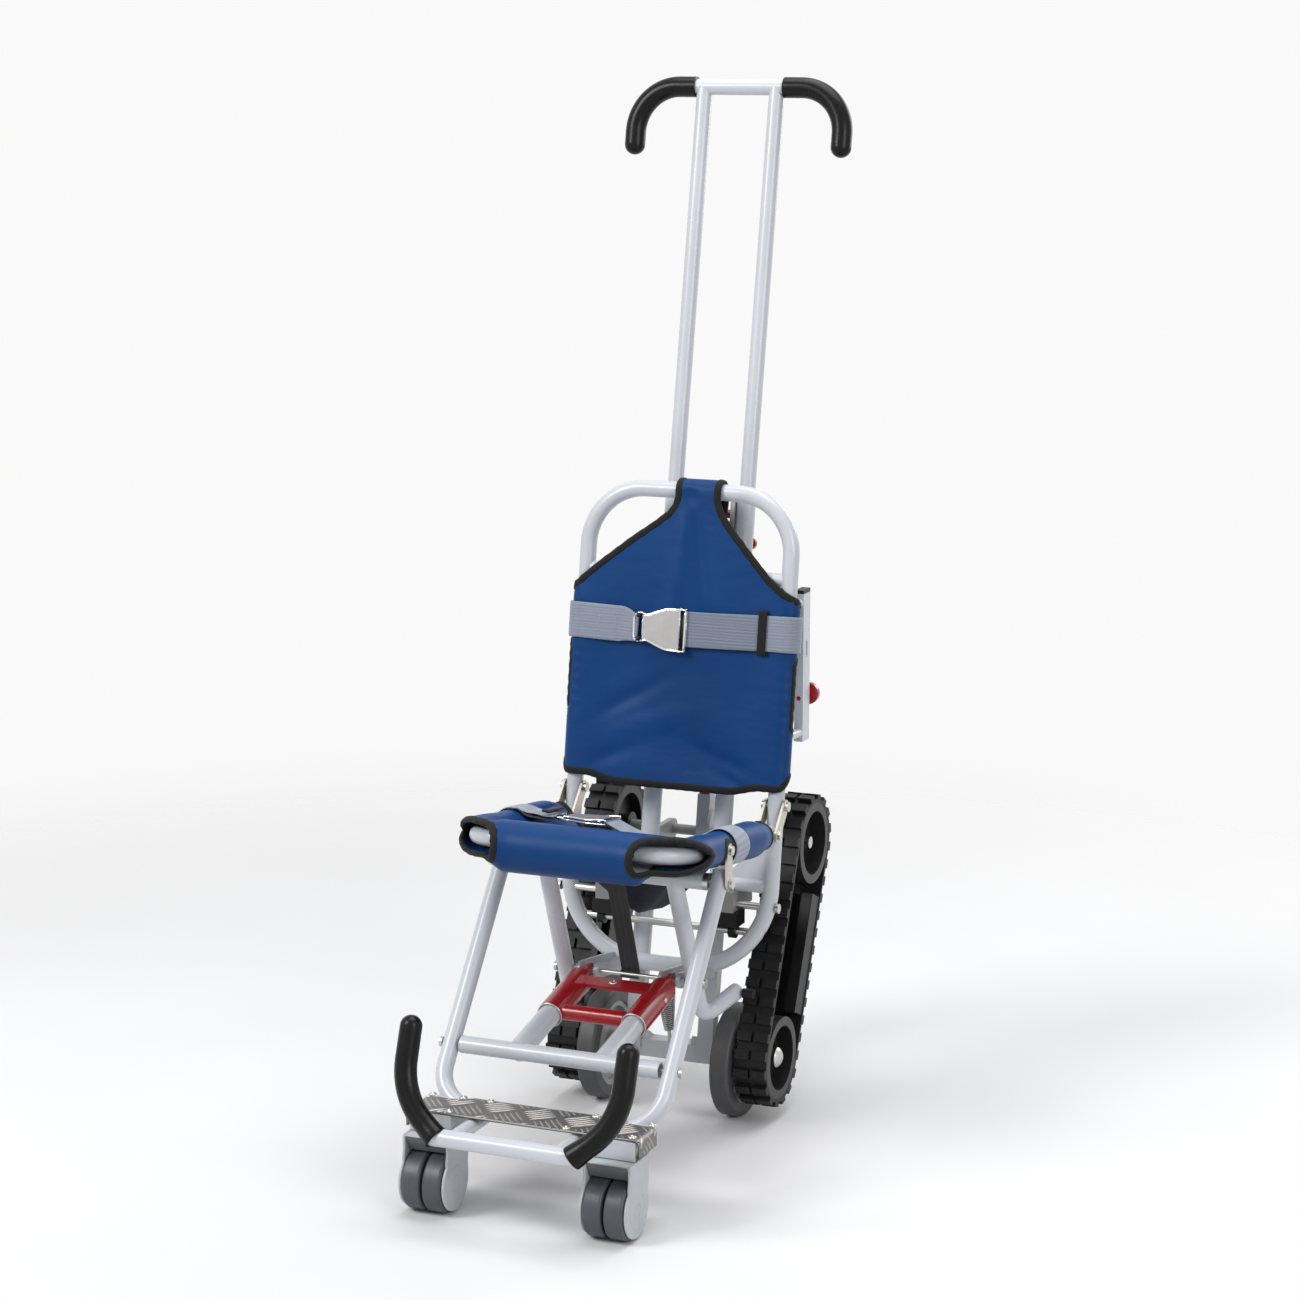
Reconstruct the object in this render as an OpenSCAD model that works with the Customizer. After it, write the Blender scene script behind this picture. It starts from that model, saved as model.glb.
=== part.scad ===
// Evacuation chair: a folding stair chair with a telescopic handle, two rear wheels,
// two track belts, twin-wheel front castors and a sling seat and back.
// The chair faces -Y and stands on z = 0. Inside the modules y = 0 is the rear axle.

/* [Tubes] */
// Outer diameter of the main frame tubes
tube_d = 22; // [20:0.5:24]
// Outer diameter of the sliding handle tubes
handle_d = 21; // [19:0.5:22]
// Wall of the guide tubes that the handle slides in
guide_wall = 1.8; // [1.5:0.1:2.5]
// Running gap between the handle tube and its guide
slide_gap = 0.3; // [0.2:0.05:0.5]
// Outer diameter of the push tubes
push_d = 28; // [26:0.5:29]
// Wall of the push tubes
push_wall = 2; // [1.5:0.5:3]

/* [Back frame] */
// Half distance between the side tubes of the hoop, centre to centre
hoop_half_w = 143.6; // [138:0.5:150]
// Height of the bottom tube of the hoop
hoop_low_z = 203; // [198:1:208]
// Distance of the bottom tube in front of the rear axle
hoop_low_y = 29; // [26:1:32]
// Length of the hoop along its own slope, centre to centre
hoop_length = 626; // [600:1:650]
// Lean of the back from upright, in degrees
back_lean = 8.8; // [8:0.1:9.6]
// Bend radius of the upper corners
hoop_top_r = 78; // [60:1:95]
// Bend radius of the lower corners
hoop_low_r = 115; // [105:1:120]
// Place of the welded cross tube along the hoop
cross_at = 517; // [490:1:535]
// Outer diameter of the welded cross tube
cross_d = 18; // [14:1:20]

/* [Handle] */
// Lean of the handle from upright, in degrees
handle_lean = 10.9; // [10.6:0.1:11.2]
// Half distance between the handle tubes
handle_half_w = 51.5; // [49:0.5:54]
// Height of the handle cross bar
handle_top_z = 1341; // [1300:1:1360]
// Length of handle tube that stays inside the guide
handle_engage = 70; // [50:1:90]
// Height of the top of the guide tubes
guide_top_z = 800; // [790:1:806]
// Travel of the handle when it is pushed down
handle_travel = 400; // [300:10:420]
// Diameter of the handle grips
grip_d = 27.5; // [25:0.5:30]
// How far a handle grip reaches out from the centre
grip_reach = 147; // [135:1:155]
// Drop of a handle grip below the cross bar
grip_drop = 78; // [70:1:90]
// Bend radius of a handle grip
grip_r = 60; // [50:1:65]

/* [Rear wheels] */
// Diameter of the rear wheels
wheel_d = 150; // [140:1:156]
// Width of a rear wheel
wheel_w = 27; // [24:0.5:28]
// Half track of the rear wheels
wheel_half_track = 95; // [94:0.5:96]
// Diameter of the rear axle
axle_d = 12; // [10:0.5:14]

/* [Tracks] */
// Distance between the two pulleys of a track
track_length = 290; // [270:1:310]
// Lean of the tracks from upright, in degrees
track_lean = 24.4; // [22:0.1:27]
// Height of the lower pulley
pulley_low_z = 84; // [80:1:90]
// Radius of the pulleys
pulley_r = 54.7; // [52:0.1:56]
// Width of a track belt
belt_w = 43; // [38:0.5:44]
// Thickness of the belt band
band_t = 4; // [3:0.5:5]
// Height of the tread lugs
lug_h = 6; // [4:0.5:7]
// Number of lugs on a belt
lug_count = 40; // [32:1:44]

/* [Seat] */
// Height of the seat pivot on the hoop
seat_pivot_z = 424; // [418:1:430]
// Height of the seat tube at its rear end
seat_rear_z = 392; // [390:1:395]
// Distance of the front seat tube in front of the rear axle
seat_front_y = 325; // [315:1:335]
// Height of the front seat tube
seat_front_z = 433; // [428:1:438]
// Bend radius of the seat tube corners
seat_r = 45; // [40:1:55]
// Radius of the padded front roll
roll_r = 29; // [26:0.5:32]
// Radius of the padded side rolls
side_roll_r = 22; // [19:0.5:24]
// Depth of the sling over the cross tube
sling_sag = 29; // [24:1:30]
// Depth of the sling behind the cross tube
sling_deep = 112; // [80:1:116]
// Thickness of the sling
sling_t = 4; // [3:0.5:5]

/* [Legs] */
// Distance of the upper leg pivot in front of the rear axle
leg_pivot_y = 209; // [207:0.5:211]
// Height of the upper leg pivot
leg_pivot_z = 374; // [372:0.5:376]
// Distance of the push pivot in front of the rear axle
push_pivot_y = 362; // [358:1:366]
// Height of the push pivot
push_pivot_z = 175; // [172:1:178]
// Half distance between the legs, centre to centre
leg_half_w = 148.6; // [148:0.1:150]
// Length of the legs below the push pivot
leg_below = 80; // [76:1:84]
// Bend radius of the leg corners
leg_r = 52; // [45:1:60]

/* [Foot] */
// Distance of the foot tube in front of the rear axle
foot_tube_y = 526; // [520:1:530]
// Height of the foot tube
foot_tube_z = 113; // [110:1:116]
// Half length of the foot tube between the grips
foot_half_w = 86; // [80:1:92]
// Half width of the checker plate
plate_half_w = 155; // [152:0.5:158]
// Thickness of the checker plate
plate_t = 2.5; // [2:0.5:3]
// Diameter of the front grips
front_grip_d = 28; // [26:0.5:30]
// Height of the tops of the front grips
front_grip_top = 246; // [230:1:255]

/* [Castors] */
// Diameter of the castor wheels
castor_d = 75; // [70:1:76]
// Width of one castor wheel
castor_w = 25; // [22:0.5:26]
// Half distance between the castors
castor_half_track = 120; // [117:0.5:121]
// Distance of the castor axle in front of the rear axle
castor_y = 474; // [470:1:478]
// Trail between the castor stem and its axle
castor_trail = 20; // [16:1:24]

/* [Lock brace] */
// Distance of the brace pivot in front of the rear axle
brace_y = 143; // [141:0.5:145]
// Height of the brace pivot
brace_z = 220; // [218:0.5:222]
// Half distance between the lock sleeves
sleeve_half_w = 57.5; // [56:0.5:59]
// Outer diameter of the lock sleeves
sleeve_d = 34; // [33:0.5:36]
// Length of the lock sleeves
sleeve_length = 98; // [90:1:104]
// Half distance between the seat brace tubes
brace_half_w = 88; // [87:0.5:90]

/* [Cloth and belts] */
// Half width of the back cover
cover_half_w = 161.6; // [160:0.1:163]
// Width of the chest and lap belts
belt_web = 47; // [40:1:50]
// Thickness of the belt webbing
web_t = 1.8; // [1.5:0.1:2.2]
// Width of the pull strap
strap_w = 25; // [20:1:30]

/* [Hidden] */
$fn = 48;

// Overrun of every cut, running gap of parts that slide or turn, gap at rest
cut = 1;
gap = 0.3;
pin_gap = 0.1;

// Colours
paint = [0.80, 0.82, 0.86];
steel = [0.72, 0.72, 0.70];
black = [0.08, 0.08, 0.09];
grey_rubber = [0.30, 0.31, 0.33];
blue = [0.13, 0.25, 0.50];
web_grey = [0.55, 0.58, 0.66];
red = [0.68, 0.05, 0.07];
zinc_grey = [0.50, 0.51, 0.53];
castor_grey = [0.66, 0.69, 0.71];

// Place of the handle tubes where their line meets the floor
handle_y0 = -22.8;

// The origin is below the middle of the box round the chair
front_grip_lean = 20;
rear_reach = handle_y(handle_top_z) + grip_d / 2 * cos(handle_lean);
front_reach = foot_tube_y + front_grip_d / 2;
origin_shift = (front_reach - rear_reach) / 2;

// Helpers

module at_origin() {
    translate([0, origin_shift, 0]) children();
}

function unit(v) = v / norm(v);
function turn(a, p, b) = acos(max(-1, min(1, unit(p - a) * unit(b - p))));
function setback(a, p, b, r) = r * tan(turn(a, p, b) / 2);

// Turns local Z into direction d, at point p
module along(p, d) {
    translate(p) rotate([0, acos(d[2] / norm(d)), atan2(d[1], d[0])]) children();
}

module bar(p, q, dia) {
    along(p, q - p) cylinder(h = norm(q - p), d = dia);
}

// One bend of radius r at corner p, coming from a and going to b
module elbow(a, p, b, r, dia) {
    d1 = unit(p - a);
    d2 = unit(b - p);
    t = turn(a, p, b);
    c = p + unit(d2 - d1) * r / cos(t / 2);
    e = unit(p - d1 * setback(a, p, b, r) - c);
    n = unit(cross(d1, d2));
    upright = abs(e[2]) > 0.9999;
    rx = upright ? 0 : atan2(d1[2], n[2]);
    rz = upright ? atan2(-d1[0], d1[1]) : atan2(e[1], e[0]);
    translate(c)
        rotate([rx, asin(max(-1, min(1, -e[2]))), rz])
            rotate_extrude(angle = t) translate([r, 0]) circle(d = dia);
}

// A tube of diameter dia along the points, bent to radius r at each corner between
module pipe(pts, r, dia) {
    last = len(pts) - 1;
    for (i = [0 : last - 1]) {
        d = unit(pts[i + 1] - pts[i]);
        s = i == 0 ? 0 : setback(pts[i - 1], pts[i], pts[i + 1], r);
        e = i == last - 1 ? 0 : setback(pts[i], pts[i + 1], pts[i + 2], r);
        bar(pts[i] + d * s, pts[i + 1] - d * e, dia);
    }
    if (last > 1)
        for (i = [1 : last - 1])
            elbow(pts[i - 1], pts[i], pts[i + 1], r, dia);
}

// A cylinder along X from x0 to x1 at y, z
module xrod(x0, x1, y, z, dia) {
    translate([x0, y, z]) rotate([0, 90, 0]) cylinder(h = x1 - x0, d = dia);
}

// A flat plate in the YZ plane, from x0 to x1
module xplate(x0, x1) {
    translate([x0, 0, 0]) rotate([90, 0, 90]) linear_extrude(x1 - x0) children();
}

module both() {
    children();
    mirror([1, 0, 0]) children();
}

// A flat bar with round ends between two points of the YZ plane
module round_bar_2d(a, b, w) {
    translate(a) circle(d = w);
    translate(b) circle(d = w);
    translate(a) rotate(atan2(b[1] - a[1], b[0] - a[0]))
        translate([0, -w / 2]) square([norm(b - a), w]);
}

// Back frame: local Z runs up the back, local Y is its rear normal
module on_back() {
    translate([0, -hoop_low_y, hoop_low_z]) rotate([-back_lean, 0, 0]) children();
}

function hoop_y(z) = -hoop_low_y + (z - hoop_low_z) * tan(back_lean);
function back_s(z) = (z - hoop_low_z) / cos(back_lean);

module hoop_solid(dia = tube_d) {
    w = hoop_half_w;
    h = hoop_length;
    mid = h / 2;
    on_back() {
        pipe([[0, 0, 0], [w, 0, 0], [w, 0, mid]], hoop_low_r, dia);
        pipe([[w, 0, mid], [w, 0, h], [0, 0, h]], hoop_top_r, dia);
        pipe([[0, 0, h], [-w, 0, h], [-w, 0, mid]], hoop_top_r, dia);
        pipe([[-w, 0, mid], [-w, 0, 0], [0, 0, 0]], hoop_low_r, dia);
    }
}

module back_frame() {
    at_origin() color(paint) difference() {
        union() {
            hoop_solid();
            on_back() xrod(-hoop_half_w, hoop_half_w, 0, cross_at, cross_d);
        }
        // Holes of the seat pivot bolts
        xrod(-hoop_half_w - tube_d, hoop_half_w + tube_d, seat_pivot_y, seat_pivot_z,
            pivot_bolt_d + 2 * pin_gap);
        // Seats of the cross rods
        for (z = [rod_high_z, rod_low_z])
            xrod(-hoop_half_w, hoop_half_w, rod_y, z, cross_rod_d);
    }
}

// Handle: y of the handle tubes at a height, and the frame that slopes with them
function handle_y(z) = handle_y0 + z * tan(handle_lean);
module on_handle() {
    translate([0, handle_y0, 0]) rotate([-handle_lean, 0, 0]) children();
}
function handle_s(z) = z / cos(handle_lean);

guide_d = handle_d + 2 * slide_gap + 2 * guide_wall;
guide_low_z = 200;

module guide_outer() {
    both() on_handle() translate([handle_half_w, 0, handle_s(guide_low_z)])
        cylinder(h = handle_s(guide_top_z) - handle_s(guide_low_z), d = guide_d);
}

module guide_tubes() {
    at_origin() color(paint) difference() {
        guide_outer();
        both() on_handle() translate([handle_half_w, 0, handle_s(guide_low_z) + guide_floor])
            cylinder(h = handle_s(guide_top_z), d = handle_d + 2 * slide_gap);
        // Hole of the lock plunger, from behind
        lock_axis() translate([0, 0, -handle_d / 2])
            cylinder(h = 2 * guide_d, d = plunger_d + 2 * pin_gap);
    }
}

guide_floor = 8;

// Lock plunger: local Z runs back out of the right-hand handle tube
plunger_z = 748;
plunger_d = 6;
plunger_knob_d = 16;
plunger_knob_l = 9;
plunger_stand = 14;
plunger_travel = 6;

module lock_axis() {
    on_handle() translate([handle_half_w, 0, handle_s(plunger_z)]) rotate([-90, 0, 0]) children();
}

// Brackets that carry the guide tubes on the welded cross tube
bracket_w = 14;
bracket_h = 30;

module guide_brackets() {
    s = cross_at;
    reach = handle_y(hoop_low_z + s * cos(back_lean)) + hoop_low_y - s * sin(back_lean);
    at_origin() color(paint) difference() {
        both() on_back() translate([handle_half_w - bracket_w / 2, 0, s - bracket_h / 2])
            cube([bracket_w, reach, bracket_h]);
        on_back() xrod(-hoop_half_w, hoop_half_w, 0, s, cross_d);
        guide_outer();
    }
}

// Clamps round the tops of the guide tubes, with a cheek on the inner side
clamp_h = 48;
clamp_t = 5;
cheek_l = 26;

module guide_clamps() {
    at_origin() color(zinc_grey) difference() {
        both() on_handle() translate([handle_half_w, 0, handle_s(guide_top_z) - clamp_h]) {
            cylinder(h = clamp_h, d = guide_d + 2 * clamp_t);
            translate([-guide_d / 2 - clamp_t, -cheek_l / 2, 0])
                cube([clamp_t + guide_d / 2, cheek_l, clamp_h]);
        }
        guide_outer();
        lock_axis() cylinder(h = 2 * guide_d, d = plunger_d + 2 * pin_gap);
        // Slots that the ends of the release bar slide in
        on_handle() translate([-release_half_l - release_pin_l - gap,
                -release_pin_d / 2 - gap, handle_s(release_z) - release_travel - release_pin_d])
            cube([2 * (release_half_l + release_pin_l + gap), release_pin_d + 2 * gap,
                release_travel + 2 * release_pin_d]);
    }
}

// Release bar between the clamp cheeks, which draws the two handle latches down
release_d = 12;
release_z = 784;
release_travel = 10;
release_half_l = handle_half_w - guide_d / 2 - clamp_t - gap;
release_pin_d = 8;
release_pin_l = 4;

module release_bar() {
    at_origin() color(red) on_handle() {
        xrod(-release_half_l, release_half_l, 0, handle_s(release_z), release_d);
        xrod(-release_half_l - release_pin_l, release_half_l + release_pin_l, 0,
            handle_s(release_z), release_pin_d);
        translate([0, 0, handle_s(release_z)]) rotate([0, 90, 0])
            translate([0, 0, -release_half_l / 2])
                cylinder(h = release_half_l, d = release_d + 2 * guide_wall);
    }
}

// Cross rods between the hoop sides, and the blocks and pads beside the guide tubes
cross_rod_d = 10;
rod_y = -17;
rod_high_z = 292;
rod_low_z = 256;
block_in_x = handle_half_w + guide_d / 2 - slide_gap;
block_out_x = 98;
block_h = 28;
block_front_y = -31;
block_rear_y = handle_y(rod_high_z) + guide_d / 4;
pad_h = 20;
pad_out_x = 103;

module shaft_blocks() {
    at_origin() color(zinc_grey) difference() {
        both() difference() {
            translate([block_in_x, block_front_y, rod_high_z - cross_rod_d / 2 - block_wall])
                cube([block_out_x - block_in_x, block_rear_y - block_front_y, block_h]);
            // The block is a channel, open below and behind
            translate([block_in_x + block_wall, rod_y + cross_rod_d, rod_high_z - block_h])
                cube([block_out_x - block_in_x - 2 * block_wall, block_rear_y,
                    2 * block_h - 2 * block_wall - cross_rod_d / 2]);
        }
        guide_outer();
        xrod(-hoop_half_w, hoop_half_w, rod_y, rod_high_z, cross_rod_d);
    }
}

block_wall = 4;

module rubber_pads() {
    at_origin() color(black) both()
        translate([block_in_x, block_front_y, rod_high_z - cross_rod_d / 2 - block_wall - pad_h])
            cube([pad_out_x - block_in_x, -block_front_y, pad_h]);
}

module cross_rods() {
    at_origin() color(steel) {
        both() xrod(block_out_x - block_wall - cross_rod_d, hoop_side_x(back_s(rod_high_z)),
            rod_y, rod_high_z, cross_rod_d);
        xrod(-hoop_side_x(back_s(rod_low_z)), hoop_side_x(back_s(rod_low_z)),
            rod_y, rod_low_z, cross_rod_d);
        // Guide rod of the return spring
        bar(spring_foot, spring_head, spring_rod_d);
        // Rod through the ears of the lock brace
        xrod(-ear_out_x, ear_out_x, -brace_y, brace_z, brace_rod_d);
    }
}

// Centre of the hoop tube beside a point of the lower bend
function hoop_side_x(s) = s > hoop_low_r ? hoop_half_w
    : hoop_half_w - hoop_low_r + sqrt(pow(hoop_low_r, 2) - pow(hoop_low_r - s, 2));

// Black collars on the lower cross rod, the rail cap and the bushes on the brace ends
collar_l = 9;
collar_d = 20;
bush_d = 13;
bush_l = 15;

module frame_caps() {
    at_origin() color(black) {
        both() difference() {
            xrod(block_out_x - collar_l, block_out_x, rod_y, rod_low_z, collar_d);
            xrod(0, hoop_half_w, rod_y, rod_low_z, cross_rod_d);
            translate([0, block_front_y, rod_low_z + rubber_gap_z])
                cube([2 * hoop_half_w, -2 * block_front_y, collar_d]);
        }
        translate([rail_x, rail_y, rail_top_z]) cube([rail_w, rail_depth, rail_cap_h]);
        both() xrod(j_end[0] + tube_d / 2, j_end[0] + tube_d / 2 + bush_l,
            j_end[1] - bush_d / 2, j_end[2], bush_d);
    }
}

rubber_gap_z = rod_high_z - cross_rod_d / 2 - block_wall - pad_h - rod_low_z;

// Gussets and stub tubes between the hoop sides and the blocks
stub_z = 318;
stub_d = 18;
gusset_t = 4;
gusset_low_z = 326;
gusset_top_z = 378;

module frame_gussets() {
    inner_x = block_in_x + (block_out_x - block_in_x) / 2;
    at_origin() color(paint) difference() {
        both() {
            xrod(inner_x, hoop_half_w, hoop_y(stub_z), stub_z, stub_d);
            translate([0, hoop_y(gusset_low_z) + gusset_t / 2, 0]) rotate([90, 0, 0])
                linear_extrude(gusset_t) polygon([
                    [inner_x, stub_z], [hoop_half_w, stub_z],
                    [hoop_half_w, gusset_top_z], [hoop_half_w - tube_d / 2, gusset_top_z],
                    [inner_x, gusset_low_z + gusset_t]
                ]);
            // Foot that stands on the block
            translate([inner_x, hoop_y(stub_z) - stub_d / 4, rod_high_z])
                cube([block_out_x - inner_x, stub_d / 2, stub_z - rod_high_z]);
        }
        hoop_solid();
        both() translate([block_in_x, block_front_y, rod_high_z - block_h])
            cube([block_out_x - block_in_x, -block_front_y + block_rear_y,
                2 * block_h - cross_rod_d / 2 - block_wall]);
    }
}

// Axle beam with the two uprights that carry the guide tubes
beam_s = 24;
beam_rise = 3;
beam_z = wheel_d / 2 + beam_rise;
beam_half_l = 80;
post_w = 22;
post_depth = 16;
tie_w = 10;

module axle_frame() {
    top_s = handle_s(guide_low_z);
    at_origin() color(zinc_grey) difference() {
        union() {
            translate([-beam_half_l, -beam_s / 2, beam_z - beam_s / 2])
                cube([2 * beam_half_l, beam_s, beam_s]);
            both() intersection() {
                on_handle() translate([handle_half_w - post_w / 2, -post_depth / 2, 0])
                    cube([post_w, post_depth, top_s]);
                translate([0, -beam_s * 2, beam_z])
                    cube([hoop_half_w, beam_s * 4, guide_low_z]);
            }
            // Ties from the uprights to the bottom tube of the hoop
            both() translate([ear_in_x, -hoop_low_y, hoop_low_z - tube_d / 2])
                cube([handle_half_w + tie_w / 2 - ear_in_x,
                    hoop_low_y + handle_y(guide_low_z) - guide_d / 4, tube_d / 2]);
            both() translate([handle_half_w - post_w / 2 - tie_w, -tie_w / 2, beam_z + beam_s / 2])
                rotate([90, 0, 90]) linear_extrude(post_w + 2 * tie_w)
                    polygon([[-tie_w / 2, -cut], [1.5 * tie_w, -cut], [1.5 * tie_w, 0], [0, tie_w]]);
        }
        hoop_solid();
        guide_outer();
        xrod(-2 * beam_half_l, 2 * beam_half_l, 0, wheel_d / 2, axle_d);
        bar(spring_foot, spring_head, spring_rod_d);
    }
}

// Axle, pulley pins and their caps
pin_d = 10;
cap_d = 27;
side_gap = 1;
plate_in_x = wheel_half_track + wheel_w / 2 + side_gap;
track_plate_t = 3;
belt_in_x = plate_in_x + track_plate_t + side_gap;
belt_out_x = belt_in_x + belt_w;

function track_point(s, n) = [s * sin(track_lean) + n * cos(track_lean),
    pulley_low_z + s * cos(track_lean) - n * sin(track_lean)];
top_axle = track_point(track_length, 0);

module axle_pins() {
    at_origin() color(steel) {
        xrod(-plate_in_x, plate_in_x, 0, wheel_d / 2, axle_d);
        both() {
            xrod(plate_in_x + track_plate_t, belt_out_x - hub_recess, 0, pulley_low_z, pin_d);
            translate([belt_out_x - hub_recess, 0, pulley_low_z]) rotate([0, 90, 0])
                dome(cap_d, cap_d / 4);
            xrod(plate_in_x + track_plate_t, belt_out_x - 2 * hub_recess, top_axle[0], top_axle[1],
                pin_d);
            xrod(belt_out_x - 2 * hub_recess, belt_out_x - hub_recess, top_axle[0], top_axle[1],
                pin_d + 3 * gap + pin_d / 2);
        }
    }
}

hub_recess = 6;

// A shallow dome of diameter d and height h on z = 0
module dome(d, h) {
    r = (d * d / 4 + h * h) / (2 * h);
    difference() {
        translate([0, 0, h - r]) sphere(r = r);
        translate([-2 * r, -2 * r, -4 * r]) cube(4 * r);
    }
}

// Return spring, wound as one unbroken wire that widens upwards
spring_foot = [0, -beam_s / 4, beam_z + beam_s / 2 - guide_floor];
spring_head = [0, -hoop_low_y + tube_d / 8, hoop_low_z - tube_d / 2 - 2 * gap];
spring_rod_d = 5;
spring_wire = 1.8;
spring_low_r = 4.6;
spring_top_r = 7.6;
spring_turns = 8;
spring_h = 34;
spring_lift = guide_floor + side_gap;
rings_per_turn = 8;
wire_sides = 6;

function coil_r(t) = spring_low_r + (spring_top_r - spring_low_r) * t;
function coil_point(i) =
    let (t = i / (spring_turns * rings_per_turn), a = 360 * i / rings_per_turn)
    [coil_r(t) * cos(a), coil_r(t) * sin(a), spring_h * t];

module wound_wire() {
    count = spring_turns * rings_per_turn;
    pts = [for (i = [0 : count]) coil_point(i)];
    rings = [for (i = [0 : count]) let (a = 360 * i / rings_per_turn)
        for (k = [0 : wire_sides - 1]) let (b = 360 * k / wire_sides)
            pts[i] + spring_wire / 2 * (cos(b) * [cos(a), sin(a), 0] + sin(b) * [0, 0, 1])];
    sides = [for (i = [0 : count - 1]) for (k = [0 : wire_sides - 1])
        let (a = i * wire_sides, b = a + wire_sides, m = (k + 1) % wire_sides)
            each [[a + k, a + m, b + k], [a + m, b + m, b + k]]];
    low = [for (k = [1 : wire_sides - 2]) [0, k + 1, k]];
    top0 = count * wire_sides;
    top = [for (k = [1 : wire_sides - 2]) [top0, top0 + k, top0 + k + 1]];
    polyhedron(points = rings, faces = concat(sides, low, top));
}

// Least gap between one turn of the spring and the next
spring_gap = spring_h / spring_turns - spring_wire;
echo(spring_gap = spring_gap);

module return_spring() {
    axis = unit(spring_head - spring_foot);
    at_origin() {
        color(steel) along(spring_foot + axis * spring_lift, axis)
            translate([0, 0, spring_wire]) wound_wire();
        color(black) along(spring_foot + axis * (spring_lift + spring_h + 3 * spring_wire), axis)
            difference() {
                cylinder(h = 2 * spring_top_r, r1 = spring_top_r + 2 * spring_wire, r2 = spring_top_r);
                translate([0, 0, -cut])
                    cylinder(h = 2 * spring_top_r + 2 * cut, d = spring_rod_d);
            }
    }
}

// Seat brace: cross tube between the leg tops, two slanting tubes and their hooked lower ends
leg_bolt_d = 8;
brace_cross_half = 130;
j_spread = 3;
j_back = 22;
j_drop = 54;
j_end_spread = 24;
j_end_y = -50;
j_end_z = 185;
j_corner = [brace_half_w + j_spread, -brace_y + j_back, brace_z - j_drop];
j_end = [brace_half_w + j_end_spread, j_end_y, j_end_z];
j_r = 30;
// Centre of the slanting tube at the height of its foot bolt
brace_side_x = brace_half_w + (j_corner[0] - brace_half_w)
    * (leg_pivot_z - brace_z) / (leg_pivot_z - j_corner[2]);

module seat_brace() {
    top = [brace_half_w, -leg_pivot_y, leg_pivot_z];
    at_origin() color(paint) difference() {
        union() {
            xrod(-brace_cross_half, brace_cross_half, -leg_pivot_y, leg_pivot_z, tube_d);
            both() pipe([top, j_corner, j_end], j_r, tube_d);
        }
        both() xrod(brace_cross_half - bolt_depth, 2 * leg_half_w, -leg_pivot_y, leg_pivot_z,
            leg_bolt_d);
        both() xrod(0, 2 * brace_half_w, -brace_y, brace_z, frame_bolt_d);
    }
}

bolt_depth = 16;
push_bolt_d = 6;
frame_bolt_d = 6;

// Plates on the bottom tube of the hoop that carry the seat brace and the lock brace
brace_rod_d = 6;
ear_t = 5;
ear_reach = 10;
ear_in_x = sleeve_half_w - ear_reach;
ear_out_x = sleeve_half_w + ear_reach;
ear_w = 20;

module brace_brackets() {
    at_origin() color(zinc_grey) difference() {
        both() {
            for (x = [ear_in_x - ear_t, ear_out_x])
                xplate(x, x + ear_t)
                    round_bar_2d([-hoop_low_y, hoop_low_z], [-brace_y, brace_z], ear_w);
            // Spacer to the foot of the seat brace
            xrod(ear_out_x + ear_t, brace_half_w - tube_d / 2 + gap, -brace_y, brace_z,
                2 * frame_bolt_d);
        }
        hoop_solid();
        both() pipe([[brace_half_w, -leg_pivot_y, leg_pivot_z], j_corner, j_end], j_r, tube_d);
        xrod(-ear_out_x, ear_out_x, -brace_y, brace_z, brace_rod_d);
        both() xrod(ear_out_x, 2 * brace_half_w, -brace_y, brace_z, frame_bolt_d);
        // The ears butt against the front of the bottom tube
        translate([-hoop_half_w, -hoop_low_y, 0])
            cube([2 * hoop_half_w, 2 * hoop_low_y, 2 * hoop_low_z]);
    }
}

// Pull strap: from the cross tube of the seat brace down over the rod of the lock brace
strap_t = 2;

module pull_strap() {
    top = [-leg_pivot_y, leg_pivot_z];
    low = [-brace_y, brace_z];
    r1 = tube_d / 2 + gap / 3;
    r2 = brace_rod_d / 2 + gap / 3;
    d = unit(low - top);
    n = [d[1], -d[0]];
    far = 2 * tube_d;
    at_origin() color(black) xplate(-strap_w / 2, strap_w / 2) difference() {
        union() {
            translate(top) circle(r = r1 + strap_t);
            translate(low) circle(r = r2 + strap_t);
            polygon([top - n * (r1 + strap_t), top - n * r1, low - n * r2,
                low - n * (r2 + strap_t)]);
        }
        translate(top) circle(r = r1);
        translate(low) circle(r = r2);
        // The loop round the tube is open below, and the turn round the rod is a half turn
        polygon([top, top + d * far, top + (d + n) * far, top + n * r1]);
        polygon([low + n * r2 / 4, low + n * far, low + (n - d) * far / 2, low - d * far / 2,
            low - d * r2 * 2 - n * r2 / 2]);
    }
}

// Shaft between the tops of the track frames, with its stays on the guide tubes
track_shaft_d = 14;
stay_w = 8;

module track_shaft() {
    y = top_axle[0];
    z = top_axle[1];
    at_origin() color(zinc_grey) difference() {
        union() {
            xrod(-plate_in_x, plate_in_x, y, z, track_shaft_d);
            both() xplate(handle_half_w - stay_w / 2, handle_half_w + stay_w / 2)
                round_bar_2d([handle_y(z), z], [y, z], 2 * track_shaft_d);
        }
        guide_outer();
        // The stays end at the middle of the guide tubes
        translate([-hoop_half_w, handle_y(z) - hoop_half_w, z - hoop_half_w])
            cube([2 * hoop_half_w, hoop_half_w, 2 * hoop_half_w]);
    }
}

// Track frame: a side plate inboard of the belt and a slide rail behind
rail_front_n = 26;

module track_plane() {
    translate([0, 0, pulley_low_z]) rotate([-track_lean, 0, 0]) children();
}

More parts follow.
